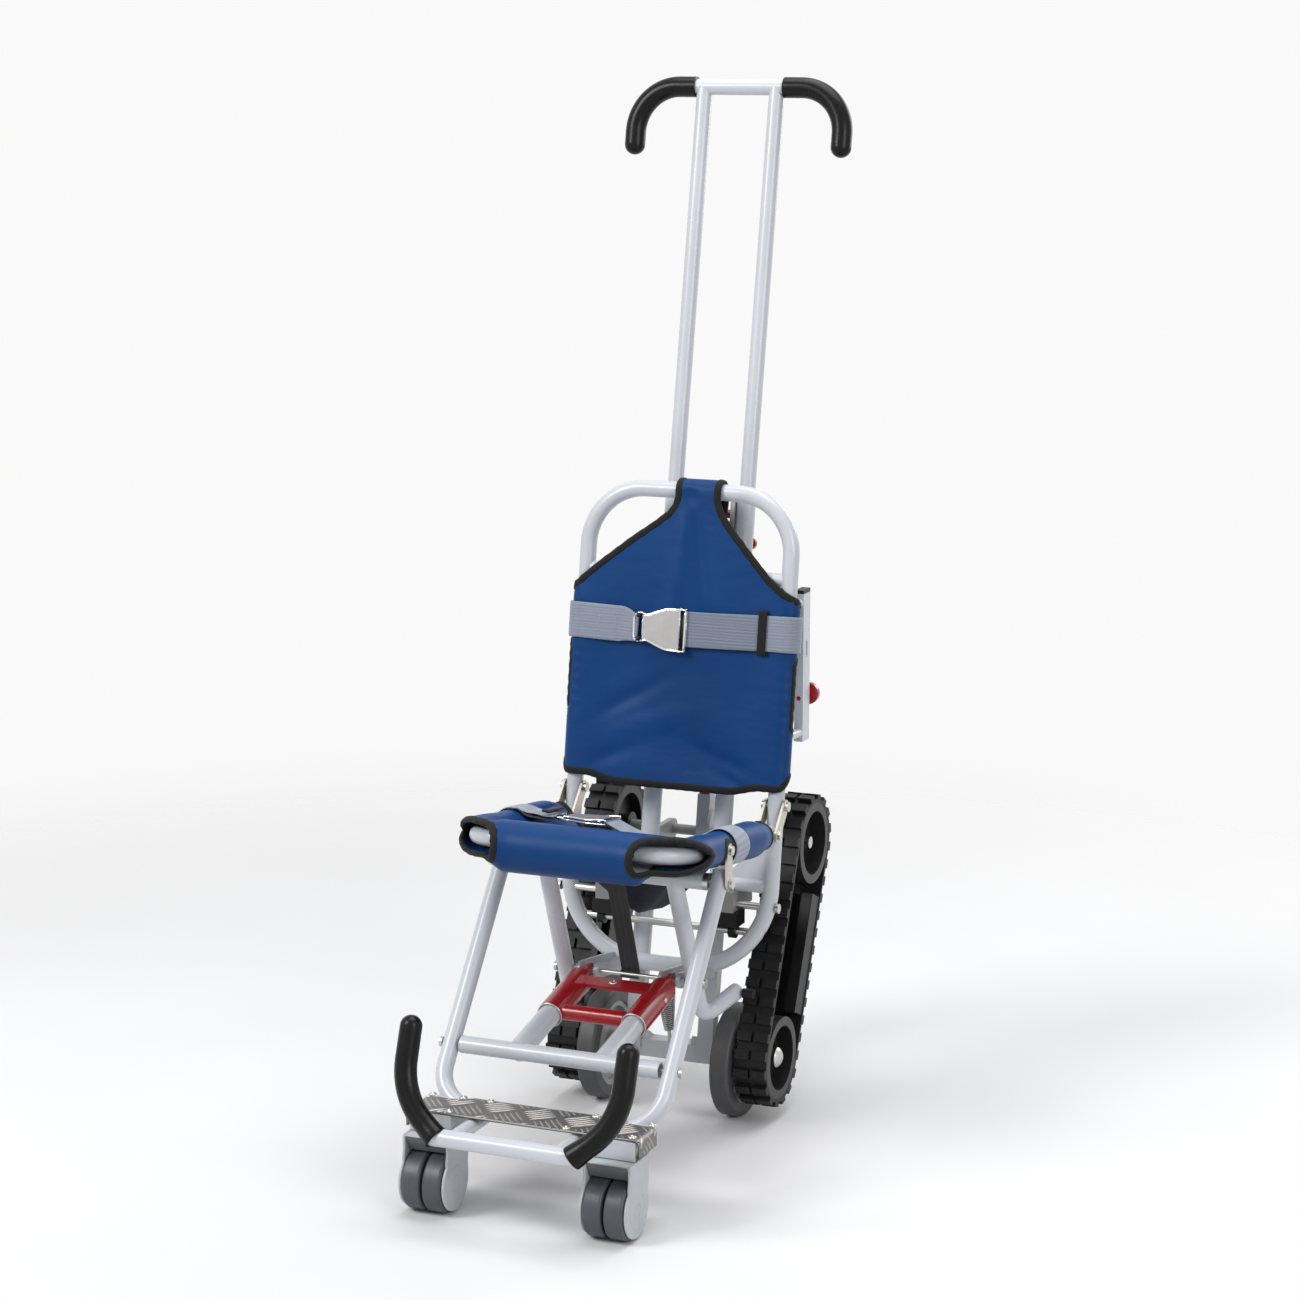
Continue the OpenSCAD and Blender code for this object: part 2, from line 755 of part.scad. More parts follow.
module track_frame() {
    arm_w = 34;
    rail_l = track_length - 2 * pulley_r - 2 * pin_d;
    at_origin() color(black) track_plane() {
        xplate(plate_in_x, plate_in_x + track_plate_t)
            round_bar_2d([0, 0], [0, track_length], arm_w);
        // Slide rail against the rear run, with a shallow channel down its front
        translate([plate_in_x + track_plate_t - cut, rail_front_n, pulley_r + pin_d])
            difference() {
                cube([belt_w + cut, pulley_r - rail_front_n, rail_l]);
                translate([belt_w / 3, -cut, -cut])
                    cube([belt_w / 3, pulley_r / 3, rail_l + 2 * cut]);
            }
        translate([plate_in_x, 0, pulley_r + pin_d])
            cube([track_plate_t, pulley_r, rail_l]);
    }
}

module left_track_frame() mirror([1, 0, 0]) track_frame();
module right_track_frame() track_frame();

// Track belt: a flat band with lugs, split by a groove down the middle
band_in_r = pulley_r + gap;
band_out_r = band_in_r + band_t;
groove_w = 4;
lug_share = 0.52;

module stadium(r) {
    circle(r = r);
    translate([0, track_length]) circle(r = r);
    translate([-r, 0]) square([2 * r, track_length]);
}

belt_loop = 2 * track_length + 2 * PI * band_out_r;
lug_pitch = belt_loop / lug_count;

// Place and heading of a lug at distance u along the outside of the band
function lug_place(u) =
    let (half = PI * band_out_r, deg = 180 / half)
    u < track_length ? [band_out_r, u, 0]
    : u < track_length + half ? let (a = (u - track_length) * deg)
        [band_out_r * cos(a), track_length + band_out_r * sin(a), a]
    : u < 2 * track_length + half ? [-band_out_r, 2 * track_length + half - u, 180]
    : let (a = 180 + (u - 2 * track_length - half) * deg)
        [band_out_r * cos(a), band_out_r * sin(a), a];

module lugs_2d() {
    w = lug_pitch * lug_share;
    for (i = [0 : lug_count - 1]) {
        p = lug_place((i + 0.5) * lug_pitch);
        translate([p[0], p[1]]) rotate(p[2])
            translate([-band_t / 2, -w / 2]) square([lug_h + band_t / 2, w]);
    }
}

module track_belt() {
    half_w = (belt_w - groove_w) / 2;
    at_origin() color(black) track_plane() difference() {
        union() {
            xplate(belt_in_x, belt_out_x) stadium(band_out_r);
            for (x = [belt_in_x, belt_out_x - half_w])
                xplate(x, x + half_w) lugs_2d();
        }
        xplate(belt_in_x - cut, belt_out_x + cut) stadium(band_in_r);
    }
}

module left_track_belt() mirror([1, 0, 0]) track_belt();
module right_track_belt() track_belt();

// Pulley: rim, recessed web and hub, turned about its pin
module pulley(p) {
    rim_t = 12;
    web_at = belt_w / 3;
    web_t2 = 6;
    hub_d = 26;
    bore = pin_d + 2 * pin_gap;
    face_x = belt_in_x + gap;
    full = belt_w - 2 * gap;
    hub_end = belt_w - 3 * hub_recess;
    at_origin() color(zinc_grey) translate([face_x, p[0], p[1]]) rotate([0, 90, 0])
        rotate_extrude() {
            translate([pulley_r - rim_t, 0]) square([rim_t, full]);
            translate([bore / 2, web_at]) square([pulley_r - rim_t / 2 - bore / 2, web_t2]);
            translate([bore / 2, gap]) square([(hub_d - bore) / 2, hub_end]);
        }
}

module left_low_pulley() mirror([1, 0, 0]) pulley([0, pulley_low_z]);
module right_low_pulley() pulley([0, pulley_low_z]);
module left_top_pulley() mirror([1, 0, 0]) pulley(top_axle);
module right_top_pulley() pulley(top_axle);

// Rear wheel: a rubber tyre on a dished hub
tyre_t = 18;
wheel_bore = axle_d + 2 * pin_gap;

module tyre() {
    r = wheel_d / 2;
    c = 5;
    at_origin() color(grey_rubber) translate([wheel_half_track - wheel_w / 2, 0, r])
        rotate([0, 90, 0]) rotate_extrude() {
            translate([r - tyre_t, 0]) square([tyre_t - c, wheel_w]);
            translate([r - tyre_t, c]) square([tyre_t, wheel_w - 2 * c]);
            for (y = [c, wheel_w - c]) translate([r - c, y]) circle(r = c);
        }
}

module hub() {
    r = wheel_d / 2;
    rim_t = 7;
    rim_inset = 2;
    web_w = 8;
    hub_d = 34;
    at_origin() color(zinc_grey) translate([wheel_half_track - wheel_w / 2, 0, r])
        rotate([0, 90, 0]) rotate_extrude() {
            translate([r - tyre_t - rim_t, rim_inset]) square([rim_t, wheel_w - 2 * rim_inset]);
            translate([wheel_bore / 2, (wheel_w - web_w) / 2])
                square([r - tyre_t - rim_t / 2 - wheel_bore / 2, web_w]);
            translate([wheel_bore / 2, 0]) square([(hub_d - wheel_bore) / 2, wheel_w]);
        }
}

module left_tyre() mirror([1, 0, 0]) tyre();
module right_tyre() tyre();
module left_hub() mirror([1, 0, 0]) hub();
module right_hub() hub();

// Brake lever: a tapering arm on the track shaft, with a disc beside it
lever_half_w = 9;
lever_top_z = 402;
lever_y = top_axle[0];
lever_foot_d = 34;
lever_tip_w = 17;
disc_d = 46;
disc_t = 5;

module brake_lever() {
    z0 = top_axle[1];
    bore = track_shaft_d + 2 * pin_gap;
    at_origin() color(zinc_grey) difference() {
        union() {
            xplate(-lever_half_w, lever_half_w) {
                translate([lever_y, z0]) circle(d = lever_foot_d);
                polygon([
                    [lever_y - lever_foot_d / 2, z0], [lever_y - lever_tip_w / 2, lever_top_z],
                    [lever_y + lever_tip_w / 2, lever_top_z], [lever_y + lever_foot_d / 2, z0]
                ]);
            }
            xrod(lever_half_w, lever_half_w + disc_t, lever_y, z0 + disc_d / 4, disc_d);
        }
        xrod(-hoop_half_w, hoop_half_w, lever_y, z0, bore);
    }
}

// Red end of the lever: its share of the lever's section, and its height
tab_share = 0.8;
tab_h = 9;

module lever_tab() {
    w = 2 * lever_half_w * tab_share;
    depth = lever_tip_w * tab_share;
    at_origin() color(red)
        translate([-w / 2, lever_y - depth / 2, lever_top_z]) cube([w, depth, tab_h]);
}

// Upright rail behind the right side of the hoop, with its red plunger
rail_x = 146;
rail_w = 12;
rail_y = 64;
rail_depth = 25;
rail_low_z = 498;
rail_top_z = 695;
rail_cap_h = 5;
rail_knob_z = 556;
rail_knob_d = 29;
rail_spacer_d = 12;
slot_w = 6;
slot_l = 22;

// The rail and its two spacers, grown by a clearance where the cover goes round them
module rail_body(grow = 0) {
    translate([rail_x - grow, rail_y - grow, rail_low_z - grow])
        cube([rail_w + 2 * grow, rail_depth + 2 * grow, rail_top_z - rail_low_z + 2 * grow]);
    for (z = [rail_low_z + rail_spacer_d, rail_top_z - rail_spacer_d])
        bar([hoop_half_w + rail_w / 4, hoop_y(z), z], [rail_x + rail_w / 2, rail_y + cut, z],
            rail_spacer_d + 2 * grow);
}

module rear_rail() {
    at_origin() color(paint) difference() {
        rail_body();
        hoop_solid();
        // Slot in the outer face
        translate([rail_x + rail_w / 2, rail_y + rail_depth / 2, rail_top_z - 3 * slot_l])
            rotate([0, 90, 0]) {
                cylinder(h = rail_w, d = slot_w);
                translate([0, -slot_w / 2, 0]) cube([slot_l - slot_w, slot_w, rail_w]);
                translate([slot_l - slot_w, 0, 0]) cylinder(h = rail_w, d = slot_w);
            }
        translate([rail_x + rail_w / 2, rail_y - cut, rail_knob_z]) rotate([-90, 0, 0])
            cylinder(h = 2 * rail_depth, d = plunger_d + 2 * pin_gap);
    }
}

// Rail knob: how far its stem stands out, its neck, and its rounded head
rail_stand = 6;
rail_neck_t = 4;
rail_neck_share = 0.6;
rail_head_t = 7;

module rail_knob() {
    stem = rail_depth + rail_stand;
    at_origin() color(red)
        translate([rail_x + rail_w / 2, rail_y, rail_knob_z]) rotate([-90, 0, 0]) {
            cylinder(h = stem + cut, d = plunger_d);
            translate([0, 0, stem]) cylinder(h = rail_neck_t, d = rail_knob_d * rail_neck_share);
            translate([0, 0, stem + rail_neck_t]) cylinder(h = rail_head_t, d = rail_knob_d);
            translate([0, 0, stem + rail_neck_t + rail_head_t]) dome(rail_knob_d, rail_head_t);
        }
}

// The rim of the lock knob is this share of its height, and the rest is its dome
knob_rim_share = 0.6;

module lock_knob() {
    at_origin() color(red) lock_axis() {
        translate([0, 0, handle_d / 2 + slide_gap])
            cylinder(h = plunger_stand, d = plunger_d);
        translate([0, 0, handle_d / 2 + slide_gap + plunger_stand])
            cylinder(h = plunger_knob_l * knob_rim_share, d = plunger_knob_d);
        translate([0, 0, handle_d / 2 + slide_gap + plunger_stand + plunger_knob_l * knob_rim_share])
            dome(plunger_knob_d, plunger_knob_l * (1 - knob_rim_share));
    }
}

// Back cover: a padded sling round the hoop sides, with a strap over the top tube
cover_t = 5;
cover_low_z = 441;
shoulder_z = 685;
neck_z = 808;
neck_left_x = -13;
neck_right_x = 42;
side_slot_z = 568;
side_slot_l = 84;
cover_gap = 0.4;

// Points of the two upper edges: share of the half width, share of the rise to the neck
left_edge_share = [[1, 0], [0.91, 0.08], [0.745, 0.276], [0.466, 0.553], [0.155, 0.846]];
right_edge_share = [[1, 0], [0.863, 0.073], [0.727, 0.22], [0.547, 0.48], [0.379, 0.74]];

module cover_outline() {
    w = cover_half_w;
    s0 = back_s(shoulder_z);
    rise = back_s(neck_z) - s0;
    top = hoop_length + 2 * tube_d;
    polygon(concat(
        [[-w, back_s(cover_low_z)], [w, back_s(cover_low_z)]],
        [for (p = right_edge_share) [w * p[0], s0 + rise * p[1]]],
        [[neck_right_x, s0 + rise], [neck_right_x, top], [neck_left_x, top], [neck_left_x, s0 + rise]],
        [for (i = [4 : -1 : 0]) [-w * left_edge_share[i][0], s0 + rise * left_edge_share[i][1]]]
    ));
}

// Outline of the cloth across the back: front panel and a wrap round each side tube
module cover_section() {
    r_in = tube_d / 2 + cover_gap;
    r_out = cover_half_w - hoop_half_w;
    difference() {
        union() {
            translate([-hoop_half_w, -r_out]) square([2 * hoop_half_w, cover_t]);
            for (x = [-hoop_half_w, hoop_half_w]) translate([x, 0]) circle(r = r_out);
        }
        for (x = [-hoop_half_w, hoop_half_w]) translate([x, 0]) circle(r = r_in);
        translate([-hoop_half_w, cover_t - r_out]) square([2 * hoop_half_w, 2 * r_out]);
    }
}

module back_cover() {
    r_in = tube_d / 2 + cover_gap;
    r_out = cover_half_w - hoop_half_w;
    top = hoop_length;
    low = back_s(cover_low_z);
    neck_w = neck_right_x - neck_left_x;
    slot = back_s(side_slot_z);
    slot_run = side_slot_l / 2 - (r_out - r_in);
    at_origin() color(blue) difference() {
        on_back() difference() {
            union() {
                intersection() {
                    translate([0, 0, low]) linear_extrude(top - low) cover_section();
                    translate([0, 2 * tube_d, 0]) rotate([90, 0, 0]) linear_extrude(4 * tube_d)
                        cover_outline();
                }
                // Strap over the top tube and down behind it
                xrod(neck_left_x, neck_right_x, 0, top, 2 * r_out);
                translate([neck_left_x, r_out - cover_t, top - 2 * tube_d])
                    cube([neck_w, cover_t, 2 * tube_d]);
            }
            xrod(neck_left_x - cut, neck_right_x + cut, 0, top, 2 * r_in);
            translate([neck_left_x - cut, cover_t - r_out, top - 3 * tube_d])
                cube([neck_w + 2 * cut, 2 * r_out - 2 * cover_t, 3 * tube_d]);
            // Long notches in the sides, down to the tube
            for (x = [-cover_half_w, cover_half_w])
                translate([x, tube_d, 0]) rotate([90, 0, 0]) linear_extrude(2 * tube_d)
                    round_bar_2d([0, slot - slot_run], [0, slot + slot_run], 2 * (r_out - r_in));
        }
        rail_body(gap);
    }
}

// Chest belt: two lengths of webbing from the hoop sides to the buckle
chest_z = 647;
web_gap = 0.4;
buckle_x0 = -55;
buckle_x1 = 11;

module chest_webs() {
    r = cover_half_w - hoop_half_w + web_gap;
    s = back_s(chest_z) - belt_web / 2;
    difference() {
        union() {
            for (x = [-hoop_half_w, hoop_half_w]) translate([x, 0, s])
                cylinder(h = belt_web, r = r + web_t);
            translate([-hoop_half_w, -r - web_t, s]) cube([2 * hoop_half_w, web_t, belt_web]);
        }
        for (x = [-hoop_half_w, hoop_half_w]) translate([x, 0, s - cut])
            cylinder(h = belt_web + 2 * cut, r = r);
        translate([-hoop_half_w, -r, s - cut])
            cube([2 * hoop_half_w, 4 * r, belt_web + 2 * cut]);
        translate([-2 * hoop_half_w, 0, s - cut])
            cube([4 * hoop_half_w, 4 * r, belt_web + 2 * cut]);
    }
}

module chest_belt() {
    r = cover_half_w - hoop_half_w + web_gap;
    keeper_x = 111;
    keeper_w = 13;
    at_origin() color(web_grey) on_back() {
        difference() {
            chest_webs();
            translate([buckle_x0, -2 * r, back_s(chest_z) - belt_web])
                cube([buckle_x1 - buckle_x0, 4 * r, 2 * belt_web]);
        }
        // Keeper loop on the right length
        translate([keeper_x, -r - 2 * web_t - gap / 3, back_s(chest_z) - belt_web / 2 - web_t])
            cube([keeper_w, web_t, belt_web + 2 * web_t]);
    }
}

// Lift-lever buckle, drawn flat: x along the belt, y across it, z out from the body
buckle_l = buckle_x1 - buckle_x0;
buckle_h = 56;
buckle_t = 6;
flap_t = 2.5;
flap_l = 44;
hinge_d = 5;
hinge_z = buckle_t / 2 + flap_t + gap;

module buckle_base() {
    difference() {
        union() {
            translate([0, -buckle_h / 2, 0]) cube([buckle_l, buckle_h, buckle_t / 2]);
            for (y = [-buckle_h / 2, buckle_h / 2 - flap_t])
                translate([buckle_l - flap_l - hinge_d, y, 0])
                    cube([flap_l + hinge_d, flap_t, buckle_t + flap_t]);
        }
        // Window that the left webbing loops through
        translate([hinge_d, -belt_web / 2, -cut]) cube([hinge_d, belt_web, buckle_t]);
        translate([buckle_l - hinge_d, 0, hinge_z]) rotate([90, 0, 0])
            cylinder(h = buckle_h + 2 * cut, d = hinge_d / 2 + 2 * pin_gap, center = true);
    }
}

module buckle_flap() {
    w = buckle_h - 2 * flap_t - 2 * gap;
    translate([buckle_l - flap_l, -w / 2, hinge_z]) cube([flap_l - hinge_d, w, flap_t]);
    translate([buckle_l - hinge_d, 0, hinge_z]) rotate([90, 0, 0])
        cylinder(h = w, r = flap_t, center = true);
    translate([buckle_l - hinge_d, 0, hinge_z]) rotate([90, 0, 0])
        cylinder(h = buckle_h, d = hinge_d / 2, center = true);
}

module chest_buckle_place() {
    r = cover_half_w - hoop_half_w + web_gap;
    on_back() translate([buckle_x0, -r - gap, back_s(chest_z)]) rotate([90, 0, 0]) children();
}

module chest_buckle() at_origin() color(steel) chest_buckle_place() buckle_base();
module chest_flap() at_origin() color(steel) chest_buckle_place() buckle_flap();

// Bolts of the fixed frame
bolt_head_d = 13;
bolt_head_t = 4;
leg_out_x = leg_half_w + tube_d / 2;
link_t = 3;
link_in_x = leg_out_x + side_gap;
// The heads start clear of the slanting tube of the brace and of the bend of the hoop
foot_bolt_x = brace_side_x + tube_d / 2 + 2 * gap;
rod_bolt_x = hoop_side_x(back_s(rod_high_z) + bolt_head_d / 2) + tube_d / 2 + gap;

module frame_bolts() {
    at_origin() color(steel) {
        // Leg pivot bolts: shank through the leg and the slotted link, head outside
        both() {
            xrod(brace_cross_half - bolt_depth, link_in_x + link_t + gap, -leg_pivot_y,
                leg_pivot_z, leg_bolt_d);
            xrod(link_in_x + link_t + gap, link_in_x + link_t + gap + bolt_head_t,
                -leg_pivot_y, leg_pivot_z, bolt_head_d);
            // Black washer between the cross tube and the leg
            difference() {
                xrod(brace_cross_half, leg_half_w - tube_d / 2 - gap, -leg_pivot_y, leg_pivot_z,
                    tube_d);
                xrod(0, leg_half_w, -leg_pivot_y, leg_pivot_z, leg_bolt_d);
            }
            // Seat brace foot bolts
            xrod(ear_out_x, foot_bolt_x, -brace_y, brace_z, frame_bolt_d);
            xrod(foot_bolt_x, foot_bolt_x + bolt_head_t, -brace_y, brace_z, bolt_head_d);
            // Ends of the cross rods outside the hoop
            xrod(rod_bolt_x, rod_bolt_x + bolt_head_t, rod_y, rod_high_z, bolt_head_d);
        }
    }
}

// Sliding handle: two tubes, a cross bar and small corner webs
module handle_frame() {
    top_s = handle_s(handle_top_z);
    low_s = handle_s(guide_top_z) - handle_engage;
    web = 16;
    web_plate_t = 4;
    at_origin() color(paint) on_handle() difference() {
        union() {
            both() {
                translate([handle_half_w, 0, low_s]) cylinder(h = top_s - low_s, d = handle_d);
                translate([handle_half_w, web_plate_t / 2, top_s]) rotate([90, 0, 0])
                    linear_extrude(web_plate_t) polygon([[-web, 0], [0, 0], [0, -web]]);
            }
            xrod(-handle_half_w - bar_reach, handle_half_w + bar_reach, 0, top_s, handle_d);
        }
        // The tubes are hollow up to the cross bar
        both() translate([handle_half_w, 0, low_s - cut])
            cylinder(h = top_s - low_s - handle_d / 2, d = handle_d - 2 * guide_wall);
    }
}

bar_reach = 11;

module handle_grips() {
    top_s = handle_s(handle_top_z);
    x0 = handle_half_w + bar_reach;
    core = handle_d;
    at_origin() color(black) on_handle() both() {
        difference() {
            pipe([[x0, 0, top_s], [grip_reach, 0, top_s], [grip_reach, 0, top_s - grip_drop]],
                grip_r, grip_d);
            xrod(x0 - cut, x0, 0, top_s, core);
        }
        translate([grip_reach, 0, top_s - grip_drop]) sphere(d = grip_d);
    }
}

// Seat: local Y runs back along the side tubes, local Z is up from the seat
pivot_bolt_d = 8;
seat_pivot_y = hoop_y(seat_pivot_z);
seat_stand_off = 13;
seat_rear_y = hoop_y(seat_rear_z) - tube_d / 2 - seat_stand_off;
seat_run = norm([seat_front_y + seat_rear_y, seat_front_z - seat_rear_z]);
seat_tilt = atan2(seat_front_z - seat_rear_z, seat_front_y + seat_rear_y);

module on_seat() {
    translate([0, seat_rear_y, seat_rear_z]) rotate([-seat_tilt, 0, 0]) children();
}

module seat_tube(dia = tube_d) {
    w = hoop_half_w;
    back = 10;
    on_seat() pipe([[-w, back, 0], [-w, -seat_run, 0], [w, -seat_run, 0], [w, back, 0]],
        seat_r, dia);
}

// The links hang from the seat tubes in line with the leg pivots
link_top = [-leg_pivot_y, seat_rear_z + (seat_front_z - seat_rear_z)
    * (leg_pivot_y + seat_rear_y) / (seat_front_y + seat_rear_y)];
hanger_top = [seat_pivot_y, seat_pivot_z];
hanger_low = [seat_rear_y, seat_rear_z];
seat_bolt_d = 6;
plate_w = 18;

module seat_frame() {
    at_origin() color(paint) difference() {
        seat_tube();
        for (p = [link_top, hanger_low])
            xrod(-2 * hoop_half_w, 2 * hoop_half_w, p[0], p[1], seat_bolt_d);
    }
}

hanger_in_x = hoop_half_w - tube_d / 2 - gap - link_t;
hanger_out_x = hoop_half_w + tube_d / 2 + gap;

module seat_plates() {
    at_origin() color(steel) both() difference() {
        union() {
            for (x = [hanger_in_x, hanger_out_x])
                xplate(x, x + link_t) round_bar_2d(hanger_low, hanger_top, plate_w);
            xplate(link_in_x, link_in_x + link_t)
                round_bar_2d([-leg_pivot_y, leg_pivot_z], link_top, plate_w);
        }
        xrod(0, 2 * hoop_half_w, hanger_top[0], hanger_top[1], pivot_bolt_d);
        for (p = [link_top, hanger_low])
            xrod(0, 2 * hoop_half_w, p[0], p[1], seat_bolt_d);
        // The slot drops over the leg pivot bolt and is open below
        xplate(link_in_x - cut, link_in_x + link_t + cut) {
            translate([-leg_pivot_y, leg_pivot_z]) circle(d = leg_bolt_d + 2 * gap);
            translate([-leg_pivot_y - leg_bolt_d / 2 - gap, leg_pivot_z - plate_w])
                square([leg_bolt_d + 2 * gap, plate_w]);
        }
    }
}

module seat_bolts() {
    at_origin() color(steel) both() {
        // Pivot bolt through the hoop
        xrod(hanger_in_x - bolt_head_t, hanger_out_x + link_t + bolt_head_t, hanger_top[0],
            hanger_top[1], pivot_bolt_d);
        for (x = [hanger_in_x - bolt_head_t, hanger_out_x + link_t])
            xrod(x, x + bolt_head_t, hanger_top[0], hanger_top[1], bolt_head_d);
        // Bolts of the hangers and links in the seat tube
        xrod(hanger_in_x, hanger_out_x + link_t, hanger_low[0], hanger_low[1], seat_bolt_d);
        xrod(hanger_out_x + link_t, hanger_out_x + link_t + bolt_head_t, hanger_low[0],
            hanger_low[1], 2 * seat_bolt_d);
        xrod(hoop_half_w - tube_d / 2, link_in_x + link_t, link_top[0], link_top[1], seat_bolt_d);
        xrod(link_in_x + link_t, link_in_x + link_t + bolt_head_t, link_top[0], link_top[1],
            2 * seat_bolt_d);
        xrod(hoop_half_w + tube_d / 2 + gap, link_in_x, link_top[0], link_top[1], 2 * seat_bolt_d);
    }
}

// Seat cover: padded rolls round the tube, open at the front corners
back_gap = 26;
opening_l = 62;
opening_h = 40;
front_roll_half = 100;
link_slot_w = 26;

module seat_cover() {
    w = hoop_half_w;
    run = seat_run;
    bend_mid = seat_r * (1 - cos(45));
    at_origin() color(blue) difference() {
        on_seat() union() {
            for (m = [0, 1]) mirror([m, 0, 0])
                pipe([[0, -run, 0], [w, -run, 0], [w, -back_gap, 0]], seat_r, 2 * side_roll_r);
            xrod(-front_roll_half, front_roll_half, -run, 0, 2 * roll_r);
        }
        seat_tube(tube_d + 2 * cover_gap);
        // Openings at the front corners that bare the tube
        on_seat() for (m = [0, 1]) mirror([m, 0, 0])
            translate([w - bend_mid, -run + bend_mid, 0]) rotate([90, 0, 45])
                translate([0, 0, tube_d / 4]) linear_extrude(2 * roll_r)
                    round_bar_2d([(opening_h - opening_l) / 2, 0], [(opening_l - opening_h) / 2, 0],
                        opening_h);
        // Slots for the links and their bolts
        both() translate([w + tube_d / 4, link_top[0] - link_slot_w / 2, leg_pivot_z])
            cube([2 * roll_r, link_slot_w, link_top[1] - leg_pivot_z + link_slot_w / 2]);
    }
}

// Sling: a sheet that sags between the rolls, shallow over the cross tube and deep behind it
sling_nx = 18;
sling_ny = 20;
sling_edge_z = 6.6;
sling_shallow_share = 0.42;
sling_deep_share = 0.80;
sag_start_share = 0.4;
sag_gap_share = 0.04;
sag_power = 2.4;

function ease(t) = let (c = max(0, min(1, t))) c * c * (3 - 2 * c);
function sag_at(v) = sling_sag
    * (sag_start_share + (1 - sag_start_share) * ease(v / sling_shallow_share))
    + (sling_deep - sling_sag) * ease((v - sling_shallow_share - sag_gap_share)
        / (sling_deep_share - sling_shallow_share));

// The edge of the sling runs just inside the tube and its front bends
sling_in = tube_d / 2 + 3 * cover_gap;
function sling_half(d) = hoop_half_w - (d > seat_r ? sling_in
    : seat_r - sqrt(max(0, pow(seat_r - sling_in, 2) - pow(seat_r - d, 2))));
function sling_point(i, j, down) =
    let (u = 2 * i / sling_nx - 1, v = j / sling_ny,
        d = sling_in + v * (seat_run - back_gap - sling_in))
    [u * sling_half(d), d - seat_run,
        sling_edge_z - sag_at(v) * (1 - pow(abs(u), sag_power)) - down];

module sling_sheet() {
    cols = sling_nx + 1;
    rows = sling_ny + 1;
    layer = cols * rows;
    points = [for (down = [0, sling_t]) for (j = [0 : sling_ny]) for (i = [0 : sling_nx])
        sling_point(i, j, down)];
    top = [for (j = [0 : sling_ny - 1]) for (i = [0 : sling_nx - 1])
        let (a = j * cols + i)
            each [[a, a + cols, a + 1], [a + 1, a + cols, a + cols + 1]]];
    under = [for (f = top) [for (k = [2, 1, 0]) f[k] + layer]];
    rim = concat([for (i = [0 : sling_nx]) i],
        [for (j = [1 : sling_ny]) j * cols + sling_nx],
        [for (i = [sling_nx - 1 : -1 : 0]) sling_ny * cols + i],
        [for (j = [sling_ny - 1 : -1 : 1]) j * cols]);
    n = len(rim);
    edge = [for (k = [0 : n - 1]) let (a = rim[k], b = rim[(k + 1) % n])
        each [[a, b, b + layer], [a, b + layer, a + layer]]];
    polyhedron(points = points, faces = concat(top, under, edge));
}

module seat_sling() {
    at_origin() color(blue) on_seat() sling_sheet();
}

// Lap belt: webbing round each side roll and in over the sling to the buckle
lap_x0 = -75;
lap_x1 = lap_x0 + buckle_l;
lap_drop = 12;
// The belt lies just behind the links
lap_y = (link_top[0] + plate_w / 2 + 2 * web_t - seat_rear_y) / cos(seat_tilt) + belt_web / 2;

// Slope of each belt length down to the buckle
lap_slope_1 = asin(lap_drop / (hoop_half_w - lap_x1));
lap_slope_0 = asin(lap_drop / (hoop_half_w + lap_x0));

module lap_belt() {
    w = hoop_half_w;
    r = side_roll_r + web_gap;
    at_origin() color(web_grey) on_seat() translate([0, lap_y + belt_web / 2, 0])
        rotate([90, 0, 0]) linear_extrude(belt_web) {
            for (m = [0, 1]) mirror([m, 0]) difference() {
                translate([w, 0]) circle(r = r + web_t);
                translate([w, 0]) circle(r = r);
                translate([-w, -2 * r]) square([2 * w, 4 * r]);
                translate([-w, -2 * r]) square([4 * w, r]);
            }
            // Straight lengths down to the buckle
            translate([w, 0]) rotate(lap_slope_1)
                translate([lap_x1 - w, r]) square([w - lap_x1, web_t]);
            mirror([1, 0]) translate([w, 0]) rotate(lap_slope_0)
                translate([-lap_x0 - w, r]) square([w + lap_x0, web_t]);
        }
}

module lap_buckle_place() {
    r = side_roll_r + web_gap;
    on_seat() translate([lap_x0, lap_y, r - lap_drop - buckle_t / 2 - gap]) children();
}

module lap_buckle() at_origin() color(steel) lap_buckle_place() buckle_base();
module lap_flap() at_origin() color(steel) lap_buckle_place() buckle_flap();

// Legs: a U of tube, with stubs to the foot tube and channels over the castors
leg_dir = unit([0, -push_pivot_y + leg_pivot_y, push_pivot_z - leg_pivot_z]);
leg_low = [0, -push_pivot_y, push_pivot_z] + leg_dir * leg_below;
leg_above = 15;
stub_x = 69;
channel_w = 46;
channel_h = 24;
channel_t = 3;
stem_y = -castor_y + castor_trail;
channel_nose = 22;
channel_front_y = stem_y - channel_nose;
channel_top_z = leg_low[2] + tube_d / 2 + gap;

leg_lean = atan2(push_pivot_y - leg_pivot_y, leg_pivot_z - push_pivot_z);
leg_length = norm([push_pivot_y - leg_pivot_y, leg_pivot_z - push_pivot_z]) + leg_below;

// Local Z runs up the legs from the bottom tube through the upper pivot
module on_legs() {
    translate([0, -leg_pivot_y, leg_pivot_z]) rotate([-leg_lean, 0, 0]) children();
}

module leg_tube(dia = tube_d) {
    w = leg_half_w;
    low = -leg_length;
    on_legs() {
        pipe([[0, 0, low], [w, 0, low], [w, 0, leg_above]], leg_r, dia);
        pipe([[-w, 0, leg_above], [-w, 0, low], [0, 0, low]], leg_r, dia);
    }
}

